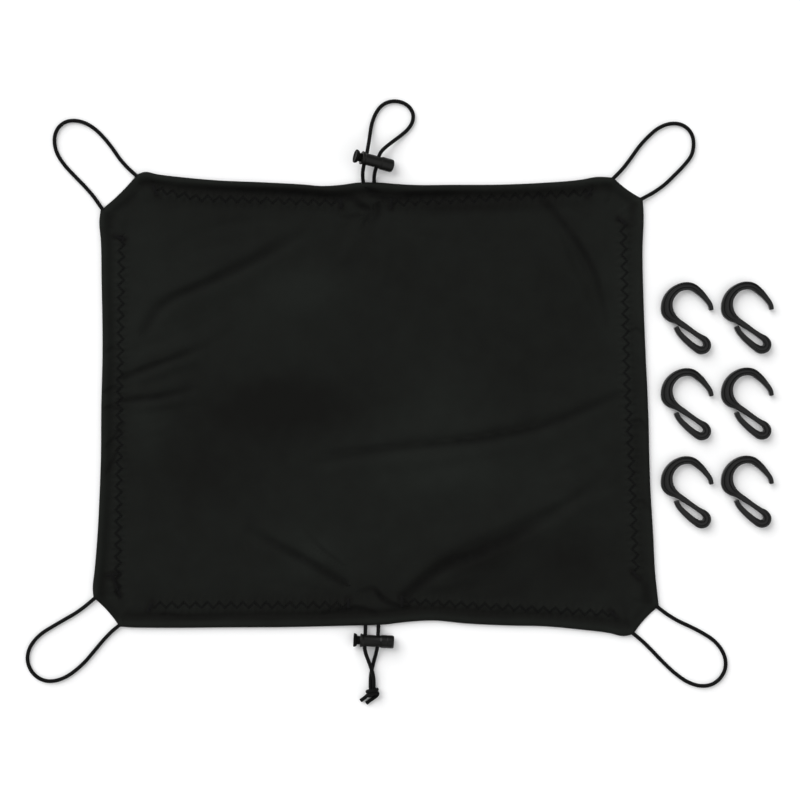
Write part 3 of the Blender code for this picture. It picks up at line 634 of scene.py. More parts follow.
creases = (
    # route, depth (a ridge where it is less than nothing), width
    (((-170, 60), (-150, 66), (-128, 78)), 0.5, 2.4),
    (((-168, 48), (-140, 58), (-122, 70)), -0.4, 2.6),
    (((-200, 20), (-176, 30), (-150, 36)), -0.5, 2.8),
    (((-196, -2), (-170, 1), (-140, 6)), -0.4, 2.6),
    (((-214, -30), (-206, -52), (-203, -80)), 0.4, 3.0),
    (((16, 150), (18, 120), (12, 84)), 0.3, 4.5),
    (((-20, 160), (-30, 140), (-34, 116)), 0.35, 3.2),
    (((8, 160), (30, 146), (58, 138)), 0.4, 3.0),
    (((150, 170), (156, 150), (160, 128)), -0.5, 3.2),
    (((-34, -56), (10, -52), (60, -46), (104, -40)), -0.5, 4.0),
    (((40, -168), (70, -158), (104, -152)), 0.6, 3.6),
    (((10, -160), (14, -140), (8, -118)), 0.35, 4.0),
    (((-40, -162), (-64, -156), (-96, -152)), 0.4, 3.4),
    (((150, -60), (176, -52), (200, -38)), 0.4, 3.2),
    (((186, 40), (200, 20), (206, -4)), 0.3, 3.4),
    (((-173, 133), (-140, 149), (-81, 157)), 0.45, 3.6),
    (((-176, 108), (-150, 122), (-120, 130)), -0.4, 4.0),
    (((70, 150), (92, 138), (114, 120)), 0.35, 3.5),
    (((-210, 46), (-190, 52), (-166, 58)), 0.5, 2.6),
    (((-206, 38), (-186, 44), (-164, 51)), -0.45, 2.2),
    (((-208, 14), (-190, 18), (-168, 24)), 0.4, 2.2),
    (((-212, -8), (-192, -8), (-170, -4)), 0.45, 2.6),
    (((-204, -24), (-186, -22), (-166, -16)), -0.4, 3.0),
    (((-210, 118), (-196, 104), (-188, 88)), -0.4, 3.4),
    (((196, 150), (202, 126), (206, 100)), 0.4, 3.0),
    (((52, -150), (84, -134), (116, -118)), -0.4, 3.0),
    (((-12, 150), (-24, 128), (-44, 112)), -0.35, 3.4),
    (((2, 146), (8, 124), (4, 104)), -0.3, 3.4),
    (((208, 20), (196, 26), (180, 24)), 0.4, 2.6),
    (((212, -60), (196, -74), (176, -80)), 0.4, 2.8),
)
ripples = (
    # wave length, turn, phase, height
    (47.0, 0.5, 0.3, 0.10), (31.0, 2.1, 1.9, 0.08), (73.0, 1.2, 4.0, 0.12), (19.0, 2.7, 0.9, 0.04),
    (23.0, 0.9, 5.1, 0.04),
)


def routeDistance(places, route):  # distance to a line, the share of the way along it, and which side
    route = np.array(route, dtype=float)
    lengths = np.linalg.norm(np.diff(route, axis=0), axis=1)
    starts = np.concatenate(([0.0], np.cumsum(lengths)))
    best = np.full(len(places), np.inf)
    share = np.zeros(len(places))
    side = np.ones(len(places))
    for index, (start, end) in enumerate(zip(route[:-1], route[1:])):
        run = end - start
        t = np.clip((places - start) @ run / (run @ run), 0.0, 1.0)
        gap = np.linalg.norm(places - start - t[:, None] * run, axis=1)
        nearer = gap < best
        best = np.where(nearer, gap, best)
        share = np.where(nearer, (starts[index] + t * lengths[index]) / starts[-1], share)
        side = np.where(nearer, np.where((places - start) @ (-run[1], run[0]) > 0, 1.0, -1.0), side)
    return best, share, side


def clothLift(places):
    rise = np.zeros(len(places))
    for number, (route, height, reach, valley, share) in enumerate(folds):
        away, along, _ = routeDistance(places, smoothRoute(route))
        uneven = 1.0 + 0.16 * np.sin(7.0 * along + number) + 0.08 * np.sin(17.0 * along + 2.0 * number)
        fade = 0.45 + 0.55 * np.clip(np.sin(math.pi * along) * 1.6, 0.0, 1.0)
        shoulder = height * fade * np.exp(-((away / reach) ** 2))
        rise += shoulder * (1.0 - share * uneven * np.exp(-((away / (valley * uneven)) ** 2)))
    for x, y, halfLength, halfWidth, turn, height in swells:
        turn = math.radians(turn)
        along = (places[:, 0] - x) * math.cos(turn) + (places[:, 1] - y) * math.sin(turn)
        across = (places[:, 1] - y) * math.cos(turn) - (places[:, 0] - x) * math.sin(turn)
        rise += height * np.exp(-((along / halfLength) ** 2) - (across / halfWidth) ** 2)
    return 0.5 * np.logaddexp(0.0, (rise - 0.8) / 0.5)  # never under nothing, with a soft start


def clothRelief(places):  # what shows on the upper side alone
    relief = np.zeros(len(places))
    for number, (route, depth, width) in enumerate(creases):
        away, along, _ = routeDistance(places, smoothRoute(route))
        fade = np.sin(np.pi * np.clip(along, 0.02, 0.98)) ** 0.5
        fade *= 1.0 + 0.2 * np.sin(9.0 * along + number)
        relief -= depth * fade * np.exp(-((away / width) ** 2))
        relief += 0.35 * depth * fade * np.exp(-(((away - 2.2 * width) / width) ** 2))
    x, y = places[:, 0], places[:, 1]
    for wave, turn, phase, height in ripples:
        relief += height * np.sin(math.tau / wave * (x * math.cos(turn) + y * math.sin(turn)) + phase)
    return relief


# lines of painted shade, each with a shallow dip in the bump
sharpLines = (
    # route, width, strength at its start, middle and end
    (((-64, 144), (-103, 122), (-143, 103), (-184, 81), (-197, 62)), 3.4, (0.2, 0.85, 0.5)),
    (((-214, 23), (-188, 33), (-143, 49)), 2.4, (0.9, 0.7, 0.1)),
    (((-216, 3), (-185, 6), (-156, 13)), 2.4, (0.9, 0.8, 0.2)),
    (((141, 175), (159, 154), (186, 111), (197, 67)), 2.8, (0.8, 0.9, 0.2)),
    (((-42, -41), (29, -34), (91, -26), (140, -17)), 2.4, (0.2, 0.5, 0.2)),
    (((-46, -48), (20, -37), (99, -28), (146, -17), (206, 8)), 3.4, (0.2, 0.9, 0.5)),
    (((24, -164), (55, -139), (97, -123), (124, -108), (158, -88)), 4.2, (1.0, 1.1, 0.05)),
    (((-27, -152), (-52, -137), (-106, -108)), 3.2, (1.0, 0.9, 0.1)),
    (((-28, -136), (-44, -124), (-60, -108)), 1.9, (0.3, 0.5, 0.1)),
    (((-169, 184.5), (-98, 181), (-47, 178), (-35, 176), (-18, 174.3), (-13, 169), (-7, 166)), 2.6,
     (0.2, 1.35, 1.1)),
    (((-5, 181.5), (1, 178), (9, 175.2), (29, 176.4), (56, 177.6), (106, 176.8)), 2.7, (1.2, 1.4, 0.1)),
    (((-197, 187.6), (-186, 187.6), (-173, 186.6)), 1.8, (0.5, 0.7, 0.2)),
    (((-45, -178.5), (-35, -175.5), (-26, -174.6), (-14, -173.3), (-1, -177.5)), 2.1, (0.4, 1.3, 0.7)),
    (((-12, -159), (-2, -157), (6, -164.8), (14, -169.7), (26, -172.6)), 2.2, (0.4, 1.3, 1.2)),
    (((2, 168.6), (1.6, 160), (-3, 154)), 2.6, (1.1, 0.8, 0.2)),
    (((-5.5, 160), (-9, 154), (-12.5, 147)), 2.1, (0.7, 0.6, 0.1)),
    (((-14, 160), (-24, 159), (-34, 162)), 2.2, (0.5, 0.5, 0.1)),
    (((-229, 10), (-223, 14), (-218, 12)), 1.7, (0.6, 0.8, 0.5)),
    (((-229, -4), (-224, -2), (-218, -5)), 1.7, (0.6, 0.8, 0.5)),
    (((-228, 44), (-223, 48), (-219, 47)), 1.6, (0.4, 0.6, 0.4)),
    (((226, 60), (221, 64), (216, 62)), 1.6, (0.4, 0.6, 0.4)),
    (((229, -20), (224, -14), (219, -15)), 1.6, (0.4, 0.7, 0.4)),
    (((231, -88), (226, -82), (221, -83)), 1.6, (0.4, 0.6, 0.4)),
    (((-180, -179), (-165, -181), (-124, -181)), 1.8, (0.6, 0.5, 0.1)),
    (((-220, 165), (-210.5, 172), (-204.6, 177.7)), 2.6, (0.4, 0.7, 0.4)),
    (((196, 186), (208, 178), (220, 169)), 2.6, (0.3, 0.5, 0.3)),
    (((-233, -162), (-226, -172), (-217, -181)), 2.2, (0.3, 0.4, 0.3)),
    (((233, -168), (224, -178), (216, -188)), 2.2, (0.3, 0.5, 0.3)),
    (((-228, -36), (-221, -27), (-214, -17)), 1.6, (0.5, 0.7, 0.5)),
    (((-228, -58), (-223, -49), (-219, -39)), 1.6, (0.5, 0.7, 0.4)),
)
paintedLightPatches = (
    # centre, half length, half width, strength: painted light where above nothing, painted shade where less
    # than nothing
    (-56.0, 94.0, 42.0, 22.0, 0.55), (-191.0, -20.0, 20.0, 24.0, 0.5), (57.0, 0.0, 34.0, 34.0, 0.4),
    (60.0, -60.0, 56.0, 24.0, 0.5), (-45.0, -125.0, 32.0, 22.0, 0.55), (-78.0, 0.0, 64.0, 26.0, -0.8),
    (-150.0, -50.0, 60.0, 44.0, -0.3), (20.0, 110.0, 80.0, 44.0, -0.22), (172.0, -130.0, 34.0, 24.0, -0.5),
    (212.0, 80.0, 20.0, 60.0, 0.45), (-200.0, 100.0, 36.0, 60.0, 0.25), (110.0, -150.0, 70.0, 24.0, -0.35),
    (150.0, 40.0, 60.0, 70.0, -0.2), (-80.0, -172.0, 130.0, 14.0, -0.35), (-110.0, 176.0, 90.0, 12.0, -0.3),
    (90.0, 176.0, 80.0, 12.0, -0.35), (72.0, 170.0, 48.0, 7.0, -0.45), (-40.0, 178.0, 30.0, 6.0, -0.4),
    (76.0, -136.0, 24.0, 9.0, -0.35), (98.0, -126.0, 24.0, 10.0, -0.35), (120.0, -114.0, 20.0, 9.0, -0.35),
)
sewing = {"thread": 0.28, "stitch": 2.35, "arch": 0.30, "uneven": 0.08, "overlap": 1.06, "seed": 11,
          "tackReach": 2.6, "tackShade": 0.9}
barTacks = (
    # from, to, width, stitches
    ((-189.0, 186.4), (-185.5, 177.5), 3.0, 22),
    ((-29.2, 174.3), (-29.2, 166.4), 2.9, 20),
    ((13.3, 174.3), (13.3, 165.9), 2.9, 20),
    ((179.6, 176.0), (184.0, 183.6), 2.9, 20),
    ((-221.6, 143.0), (-213.1, 139.4), 2.9, 22),
    ((205.6, 157.6), (212.8, 152.2), 2.9, 20),
    ((-223.6, -145.4), (-217.0, -163.2), 2.0, 36),
    ((-229.0, -145.7), (-218.5, -144.5), 1.8, 22),
    ((-189.9, -168.8), (-193.3, -176.2), 3.2, 20),
    ((-22.9, -165.6), (-22.9, -173.2), 2.9, 20),
    ((22.4, -162.9), (22.4, -172.2), 2.9, 22),
    ((199.4, -175.8), (204.8, -181.6), 2.9, 20),
    ((217.6, -142.2), (224.0, -149.0), 2.9, 20),
)
seams = {
    "top left": ((-186.7, 181.9), (-150.0, 174.5), (-27.0, 170.4)),
    "top right": ((13.9, 170.0), (183.9, 179.4)),
    "right": ((210.2, 156.4), (213.6, 14.5), (217.0, -48.5), (221.3, -146.2)),
    "bottom right": ((202.6, -178.5), (23.2, -167.5)),
    "bottom left": ((-22.7, -170.9), (-189.3, -170.9)),
    "left": ((-219.0, -164.9), (-215.6, 143.7)),
}


def sharpPlaces(places):
    # widths away from the nearest sharp line with that line's strength, and the soft shade beside them all
    best = np.full(len(places), np.inf)
    second = np.full(len(places), np.inf)
    off, strength, shade = np.zeros((3, len(places)))
    for route, width, strengths in sharpLines:
        away, along, side = routeDistance(places, smoothRoute(route))
        near = away / width
        here = np.interp(along, (0.0, 0.5, 1.0), strengths)
        shade += here * np.exp(-((near / 1.5) ** 2))
        nearer = near < best
        second = np.where(nearer, best, np.minimum(second, near))
        best = np.where(nearer, near, best)
        off = np.where(nearer, near * side, off)
        strength = np.where(nearer, here, strength)
    # gone far from its line, and where another line takes over
    strength *= np.clip((2.3 - best) / 0.8, 0.0, 1.0) * np.clip((second - best) / 0.9, 0.0, 1.0)
    return np.column_stack([np.clip(off, -4.0, 4.0), strength]), shade


def paintedLightPlaces(places):
    paintedLightShade = np.zeros(len(places))
    for x, y, halfLength, halfWidth, height in paintedLightPatches:
        along, across = (places[:, 0] - x) / halfLength, (places[:, 1] - y) / halfWidth
        paintedLightShade += height * np.exp(-(along**2) - across**2)
    # painted shade round each bar tack
    for start, end, _, _ in barTacks:
        away = routeDistance(places, (start, end))[0]
        paintedLightShade -= sewing["tackShade"] * np.exp(-((away / sewing["tackReach"]) ** 2))
    return paintedLightShade


def seamPlaces(places):  # millimetres along the nearest seam, to its left, and 1 where it is sewn
    best = np.full(len(places), np.inf)
    along, across, sewn = np.zeros((3, len(places)))
    for route in seams.values():
        route = np.array(route)
        passed = 0.0
        for start, end in zip(route[:-1], route[1:]):
            run = end - start
            length = np.linalg.norm(run)
            run = run / length
            t = (places - start) @ run
            off = (places - start) @ np.array((-run[1], run[0]))
            beyond = np.maximum(np.maximum(-t, t - length), 0.0)
            away = np.hypot(off, beyond)
            nearer = away < best
            best = np.where(nearer, away, best)
            along = np.where(nearer, passed + t, along)
            across = np.where(nearer, off, across)
            sewn = np.where(nearer, (beyond < 0.1) & (away < 12.0), sewn)
            passed += length
    return np.column_stack([along, across]), sewn


def edgeRing():
    stations, held, along = [], [], []
    names = list(panel["sides"])
    for index, name in enumerate(names):
        points = panel["sides"][name]
        side = evenly(smoothPath(points, [24] * (len(points) - 1)), cells=panel["cells"][name])
        start, end = side[-1], np.array(panel["sides"][names[(index + 1) % 4]][0])
        cut = math.dist(start, end)
        stations.extend(side[:-1])
        held.extend([1.0] * (len(side) - 1))
        for step in range(panel["cornerCells"]):
            share = step / panel["cornerCells"]
            bow = 1.2 * math.sin(math.pi * share)  # the cut edge is drawn in a little
            inwards = np.array((-(end - start)[1], (end - start)[0])) / cut * -bow
            stations.append(start + (end - start) * share + inwards)
            nearest = min(share, 1.0 - share) * cut
            held.append(float(np.clip(1.0 - nearest / panel["mouthReach"], 0.0, 1.0)) ** 0.7)
    return np.array(stations), np.array(held)


def inwardLines(stations):
    ahead = np.roll(stations, -1, axis=0) - np.roll(stations, 1, axis=0)
    ahead /= np.linalg.norm(ahead, axis=1)[:, None]
    lines = np.stack([ahead[:, 1], -ahead[:, 0]], axis=1)
    straight = lines.copy()
    for _ in range(panel["easePasses"]):
        lines = 0.5 * lines + 0.25 * (np.roll(lines, 1, axis=0) + np.roll(lines, -1, axis=0))
        lines /= np.linalg.norm(lines, axis=1)[:, None]
    return straight, lines


def hemWave(stations, inset):  # the cloth is gathered a little on its cord
    along = np.concatenate(([0.0], np.cumsum(np.linalg.norm(np.diff(stations, axis=0), axis=1))))
    slow = 0.6 + 0.4 * np.sin(along / 61.0 + 0.7) * np.sin(along / 23.0 + 2.0)
    bead = np.exp(-(((inset - 3.5) / 3.5) ** 2))
    band = np.exp(-(((inset - 12.0) / 6.0) ** 2))
    slant = along + 0.7 * inset
    wave = (np.sin(slant * math.tau / 9.7) + 0.8 * np.sin(slant * math.tau / 14.3 + 1.1)
            + 0.6 * np.sin(slant * math.tau / 6.1 + 2.3))
    return slow * wave * (0.16 * bead + np.where(abs(stations[:, 1]) < 150, 0.24, 0.15) * band)


def valleyDepth(stations):  # the trough beside the cord is deeper along some stretches
    x, y = stations[:, 0], stations[:, 1]
    top, bottom = (sum(deep * np.exp(-(((x - middle) / reach) ** 2)) for middle, reach, deep in panel[side])
                   for side in ("topTroughs", "bottomTroughs"))
    sides = 0.1 + 0.3 * np.sin(y / 29.0) ** 2
    return np.where(y > 150, top, np.where(y < -150, 0.5 + bottom, np.where(abs(y) < 150, sides, 0.0)))


def risesFrom(away):  # folds and creases start from nothing at the edge
    return (np.clip(away / panel["foldsReach"], 0.0, 1.0) ** 2,
            np.clip((away - panel["creasesStart"]) / panel["creasesReach"], 0.0, 1.0))


def hemRings(stations, held):  # one ring of points for each row of the hem's section
    straight, lines = inwardLines(stations)
    rings = []
    for inset, cased, cut in panel["hem"]:
        blend = np.clip(inset / 6.0, 0.0, 1.0)
        way = straight * (1 - blend) + lines * blend
        way /= np.linalg.norm(way, axis=1)[:, None]
        places = stations + way * inset
        for _ in range(round(max(inset - 8.0, 0.0) * 4)):  # rounder towards the middle
            places = 0.5 * places + 0.25 * (np.roll(places, 1, axis=0) + np.roll(places, -1, axis=0))
        foldShare, creaseShare = risesFrom(inset)
        heights = held * cased + (1 - held) * cut
        if len(rings) >= panel["upperRow"]:
            trough = valleyDepth(stations) * np.exp(-(((inset - 9.6) / 2.6) ** 2)) * held
            heights = np.maximum(heights - trough + hemWave(stations, inset) * held, 0.7)
            heights += clothRelief(places) * creaseShare
        rings.append(np.column_stack([places, heights + clothLift(places) * foldShare]))
    return rings


def middleGrid(rim):  # an even grid inside the hem's innermost ring, and the ring's points along its sides
    across = panel["cells"]["top"] + panel["cornerCells"]
    down = panel["cells"]["right"] + panel["cornerCells"]
    first = -(panel["cornerCells"] // 2)
    sides = []
    for length, turn in ((across, 1), (down, 1), (across, -1), (down, -1)):
        sides.append(((first + np.arange(length + 1)) % len(rim))[::turn])
        first += length
    top, right, bottom, left = (rim[side] for side in sides)
    u = np.linspace(0, 1, across + 1)[None, :, None]
    v = np.linspace(0, 1, down + 1)[:, None, None]
    grid = ((1 - v) * top[None] + v * bottom[None] + (1 - u) * left[:, None] + u * right[:, None]
            - (1 - u) * (1 - v) * top[0] - u * (1 - v) * top[-1]
            - (1 - u) * v * bottom[0] - u * v * bottom[-1])
    for _ in range(300):
        grid[1:-1, 1:-1] = 0.25 * (grid[:-2, 1:-1] + grid[2:, 1:-1] + grid[1:-1, :-2] + grid[1:-1, 2:])
    return grid, sides


def markSeamsAndPaintedLight(cloth, flat, upper, trough):  # what the finish reads: seam, creases, and painted light and shade at every point
    seam, sewn = seamPlaces(flat)
    sharp, shade = sharpPlaces(flat)
    sharp[:, 1] *= upper
    corners = np.empty(len(cloth.loops), dtype=int)
    cloth.loops.foreach_get("vertex_index", corners)
    for name, pairs in (("seam", seam), ("crease", sharp)):
        cloth.uv_layers.new(name=name).data.foreach_set("uv", pairs[corners].ravel())
    # painted soft shade beside the crease lines darkens the colour further
    paintedLightShade = paintedLightPlaces(flat) + trough - panel["creasePaintedShade"] * shade * upper
    sewnAndPaintedLight = np.column_stack([sewn * upper, paintedLightShade, np.zeros(len(flat))])
    cloth.attributes.new("sewnAndPaintedLight", "FLOAT_VECTOR", "POINT").data.foreach_set("vector", sewnAndPaintedLight.ravel())


def makeCloth():
    stations, held = edgeRing()
    count = len(stations)
    rings = hemRings(stations, held)
    grid, sides = middleGrid(rings[-1][:, :2])
    inner = grid[1:-1, 1:-1].reshape(-1, 2)
    foldShare, creaseShare = risesFrom(routeDistance(inner, np.vstack([stations, stations[:1]]))[0])
    lift = clothLift(inner) * foldShare
    relief = np.maximum(clothRelief(inner) * creaseShare, -0.6)
    under = np.column_stack([inner, lift])
    over = np.column_stack([inner, lift + panel["thick"] + relief])
    points = np.vstack([*rings, under, over])

    def gridFaces(firstInner, firstRim):
        index = np.empty(grid.shape[:2], dtype=int)
        index[1:-1, 1:-1] = firstInner + np.arange(len(inner)).reshape(grid.shape[0] - 2, -1)
        index[0], index[:, -1], index[-1], index[:, 0] = (firstRim + side for side in sides)
        squares = [index[:-1, :-1], index[:-1, 1:], index[1:, 1:], index[1:, :-1]]
        return np.stack(squares, axis=-1).reshape(-1, 4)

    ring = np.arange(count)
    beside = (ring + 1) % count
    lastRing, middle = (len(rings) - 1) * count, len(rings) * count
    faces = []
    for low in range(0, lastRing, count):
        high = low + count
        faces.extend(np.column_stack([low + ring, low + beside, high + beside, high + ring]).tolist())
    faces.extend(gridFaces(middle + len(inner), lastRing)[:, ::-1].tolist())
    faces.extend(gridFaces(middle, 0).tolist())
    cloth = makeMesh("cloth-panel", points, faces, finishes["cloth"])

    upper = np.zeros(len(points))  # the underside has neither creases nor stitches of its own
    upper[panel["upperRow"] * count:middle] = 1.0
    upper[middle + len(inner):] = 1.0
    trough = np.zeros(len(points))
    quiet = held * np.where(abs(stations[:, 1]) < 150, 0.35, 1.0)  # the painted shade in the sides' troughs is paler
    # painted light on the bead's crest over the cord and painted shade in the trough beside it
    for row, (inset, _, _) in enumerate(panel["hem"]):
        crest = 0.3 * math.exp(-(((inset - 3.0) / 2.5) ** 2))
        hollow = 0.45 * math.exp(-(((inset - 9.5) / 3.5) ** 2))
        trough[row * count:(row + 1) * count] = quiet * (crest - hollow)
    markSeamsAndPaintedLight(cloth.data, points[:, :2], upper, trough)
    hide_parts("cloth")
    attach(cloth, "cover")
    return cloth


cloth = makeCloth()
print("cloth laid:", len(cloth.data.polygons), "faces")


def surfaceFinder(piece):
    tree = BVHTree.FromObject(piece, bpy.context.evaluated_depsgraph_get())

    def find(x, y):
        place, normal, _, _ = tree.ray_cast(Vector((x, y, 50.0)) * mm, Vector((0, 0, -1)))
        return place / mm, normal
    return find


def zigzagStitches():
    zigzag = clothLook["zigzag"]
    spans = []
    for route in seams.values():
        total = lengthOf(route)
        run = evenly(route, cells=max(4, round(total)))
        ahead = np.gradient(run, axis=0)
        ahead /= np.linalg.norm(ahead, axis=1)[:, None]
        along = np.linspace(0, total, len(run))
        marks = np.arange(0.0, total, zigzag["period"] / 2 / zigzag["stitches"])
        base, side = (np.stack([np.interp(marks, along, axis) for axis in axes], axis=1)
                      for axes in ((run[:, 0], run[:, 1]), (-ahead[:, 1], ahead[:, 0])))
        phase = (marks / zigzag["period"]) % 1.0
        swing = np.where(phase < 0.5, phase * 4 - 1, 3 - phase * 4) * zigzag["swing"]
        holes = base + side * swing[:, None]
        spans.extend(zip(holes[:-1], holes[1:]))
    return spans


def tackStitches():
    spans = []
    rng = np.random.default_rng(sewing["seed"])
    for start, end, width, number in barTacks:
        start, end = np.array(start), np.array(end)
        run = (end - start) / np.linalg.norm(end - start)
        side = np.array((-run[1], run[0])) * width / 2
        for step in range(number):
            middle = start + (end - start) * (step + 0.5) / number
            lean = run * 0.25 * (-1) ** step
            wander = rng.uniform(-0.14, 0.14, 2)
            spans.append((middle - side - lean + wander, middle + side + lean + wander))
    return spans


def stitchSizes():  # the stitch tree's inputs
    return {"Stitch Length": sewing["stitch"] * mm * sewing["overlap"],
            "Thread Radius": sewing["thread"] * mm, "Arch": sewing["arch"] * mm,
            "Uneven": sewing["uneven"], "Seed": sewing["seed"], "Thread": finishes["thread"]}


def stitchTree():  # a small arch of thread on each point, turned and stretched as the point says
    tree = bpy.data.node_groups.new("stitchRun", "GeometryNodeTree")
    kinds = {float: "NodeSocketFloat", int: "NodeSocketInt", bpy.types.Material: "NodeSocketMaterial"}
    for side in ("INPUT", "OUTPUT"):
        tree.interface.new_socket("Geometry", in_out=side, socket_type="NodeSocketGeometry")
    for name, value in stitchSizes().items():
        socket = tree.interface.new_socket(name, in_out="INPUT", socket_type=kinds[type(value)])
        socket.default_value = value

    nodes = Nodes(tree)
    given = {socket.name: Wire(nodes, socket) for socket in tree.nodes.new("NodeGroupInput").outputs}
    length, radius = given["Stitch Length"], given["Thread Radius"]
    sunk = radius * -1.2
    start, middle, end = (nodes.node("ShaderNodeCombineXYZ", None, sockets)
                          for sockets in ({0: length * -0.5, 2: sunk}, {2: given["Arch"] * 2.0},
                                          {0: length * 0.5, 2: sunk}))
    arch = nodes.node("GeometryNodeCurveQuadraticBezier", None,
                      {"Resolution": 5, "Start": start, "Middle": middle, "End": end})
    ring = nodes.node("GeometryNodeCurvePrimitiveCircle", None, {"Resolution": 6, "Radius": radius})
    body = nodes.node("GeometryNodeCurveToMesh", None,
                      {"Curve": arch, "Profile Curve": ring, "Fill Caps": True})
    stitch = nodes.node("GeometryNodeSetShadeSmooth", None, {"Geometry": body})

    lie, stretch = (nodes.node("GeometryNodeInputNamedAttribute", {"data_type": kind}, {"Name": name})
                    for name, kind in (("lie", "FLOAT_VECTOR"), ("stretch", "FLOAT")))
    turn = nodes.node("FunctionNodeEulerToRotation", None, {0: lie})
    limits = {2: 1 - given["Uneven"], 3: 1 + given["Uneven"], "Seed": given["Seed"]}
    fullness = nodes.node("FunctionNodeRandomValue", {"data_type": "FLOAT"}, limits, out=1)
    size = nodes.node("ShaderNodeCombineXYZ", None, {0: stretch, 1: fullness, 2: fullness})
    places = {"Points": given["Geometry"], "Instance": stitch, "Rotation": turn, "Scale": size}
    sewn = nodes.node("GeometryNodeInstanceOnPoints", None, places)
    real = nodes.node("GeometryNodeRealizeInstances", None, {"Geometry": sewn})
    thread = nodes.node("GeometryNodeSetMaterial", None, {"Geometry": real, "Material": given["Thread"]})
    nodes.feed(tree.nodes.new("NodeGroupOutput").inputs["Geometry"], thread)
    return tree


def sew(name, spans, tree, find):
    middles, turns, stretches = [], [], []
    for start, end in spans:
        (low, lowNormal), (high, highNormal) = find(*start), find(*end)
        run = high - low
        ahead = run.normalized()
        up = (lowNormal + highNormal).normalized()
        side = up.cross(ahead).normalized()
        up = ahead.cross(side)
        basis = Matrix((ahead, side, up)).transposed()
        middles.append((low + high) / 2 * mm)
        turns.extend(basis.to_euler())
        stretches.append(run.length / sewing["stitch"])
    dots = bpy.data.meshes.new(name)
    dots.from_pydata(middles, [], [])
    dots.attributes.new("lie", "FLOAT_VECTOR", "POINT").data.foreach_set("vector", turns)
    dots.attributes.new("stretch", "FLOAT", "POINT").data.foreach_set("value", stretches)
    holder = linkObject(name + "-dots", dots)
    run = holder.modifiers.new("stitches", "NODES")
    run.node_group = tree
    inputs = {item.name: item.identifier for item in tree.interface.items_tree if item.in_out == "INPUT"}
    for socket, value in stitchSizes().items():
        run[inputs[socket]] = value
    made = plainMesh(holder, name)
    piece = linkObject(name, made)
    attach(piece, "cover")
    return piece


findTop = surfaceFinder(cloth)
tree = stitchTree()
seamThread = sew("zigzag-seam", zigzagStitches(), tree, findTop)
tackThread = sew("bar-tacks", tackStitches(), tree, findTop)
print("sewn:", len(seamThread.data.polygons) + len(tackThread.data.polygons), "faces of thread")

lockLook = {
    "sides": 72, "voxel": 0.23, "smoothPasses": 4,
    "holes": (4.1, 15.0), "holeRadius": 2.3, "slotGap": 0.5, "travel": 2.2, "reach": 9.0,
    "barrelRadius": 5.55, "farContact": 27.5,
    "barrel": (
        (0.0, 3.85), (0.0, 5.0), (0.15, 5.5), (0.5, 5.8), (2.2, 5.8), (2.7, 5.55), (3.1, 5.15), (8.0, 5.0),
        (13.0, 5.0), (17.2, 5.12), (17.9, 5.4), (18.5, 5.55), (22.4, 5.55), (22.6, 5.42), (23.0, 5.42),
        (23.2, 5.55), (27.5, 5.55), (28.2, 5.25), (28.7, 4.7), (28.9, 4.0), (28.9, 0.0),
        (25.2, 0.0), (25.2, 3.85),
    ),
    "plunger": (
        (-4.9, 0.0), (-5.0, 2.6), (-5.1, 3.5), (-5.55, 4.2), (-5.6, 4.9), (-5.6, 5.3), (-5.3, 5.75),
        (-4.9, 5.8), (-4.4, 5.75), (-3.8, 5.5), (-3.2, 5.2), (-2.8, 4.9), (-2.5, 4.4), (-2.35, 3.6),
        (18.3, 3.5), (18.5, 3.3), (18.5, 0.0),
    ),
    "scoop": (3.3, 1.0, 3.0), "scoopPlace": 5.45,
    "places": {
        "top": {"mouth": (-12.2, 208.0), "turn": -13.6, "lean": 18.0},
        "bottom": {"mouth": (-13.2, -200.2), "turn": -3.1, "lean": 0.4},
    },
}


def lathe(profile, sides):
    points, rows, faces = [], [], []
    for along, radius in profile:
        if radius == 0.0:
            rows.append([len(points)] * sides)
            points.append((along, 0.0, 0.0))
            continue
        rows.append(list(range(len(points), len(points) + sides)))
        for step in range(sides):
            angle = math.tau * (step + 0.5) / sides
            points.append((along, radius * math.cos(angle), radius * math.sin(angle)))
    for row, after in zip(rows, rows[1:] + rows[:1]):
        for step in range(sides):
            beside = (step + 1) % sides
            corners = tuple(dict.fromkeys((row[step], row[beside], after[beside], after[step])))
            if len(corners) > 2:
                faces.append(corners)
    return points, faces


def slotCutter(name, centre, length, width):
    outline = []
    for turn, end in ((-90.0, 1.0), (90.0, -1.0)):
        middle = centre + end * (length - width) / 2
        for step in range(16):
            angle = math.radians(turn + 180.0 * (step + 0.5) / 16)
            outline.append((middle + width / 2 * math.cos(angle), width / 2 * math.sin(angle)))
    reach = lockLook["reach"]
    points = [(along, side, height) for side in (-reach, reach) for along, height in outline]
    size = len(outline)
    faces = [tuple(range(size)), tuple(reversed(range(size, 2 * size)))]
    faces += [(step, (step + 1) % size, size + (step + 1) % size, size + step) for step in range(size)]
    return makeMesh(name, points, faces, finishes["barrel"])


def scoopCutter(name, centre, side):  # eases the rim of a cord hole
    ball = bmesh.new()
    bmesh.ops.create_uvsphere(ball, u_segments=32, v_segments=20, radius=1.0)
    size = Vector(lockLook["scoop"])
    for point in ball.verts:
        point.co = (point.co * size + Vector((centre, side * lockLook["scoopPlace"], 0.0))) * mm
    mesh = bpy.data.meshes.new(name)
    ball.to_mesh(mesh)
    ball.free()
    return linkObject(name, mesh)


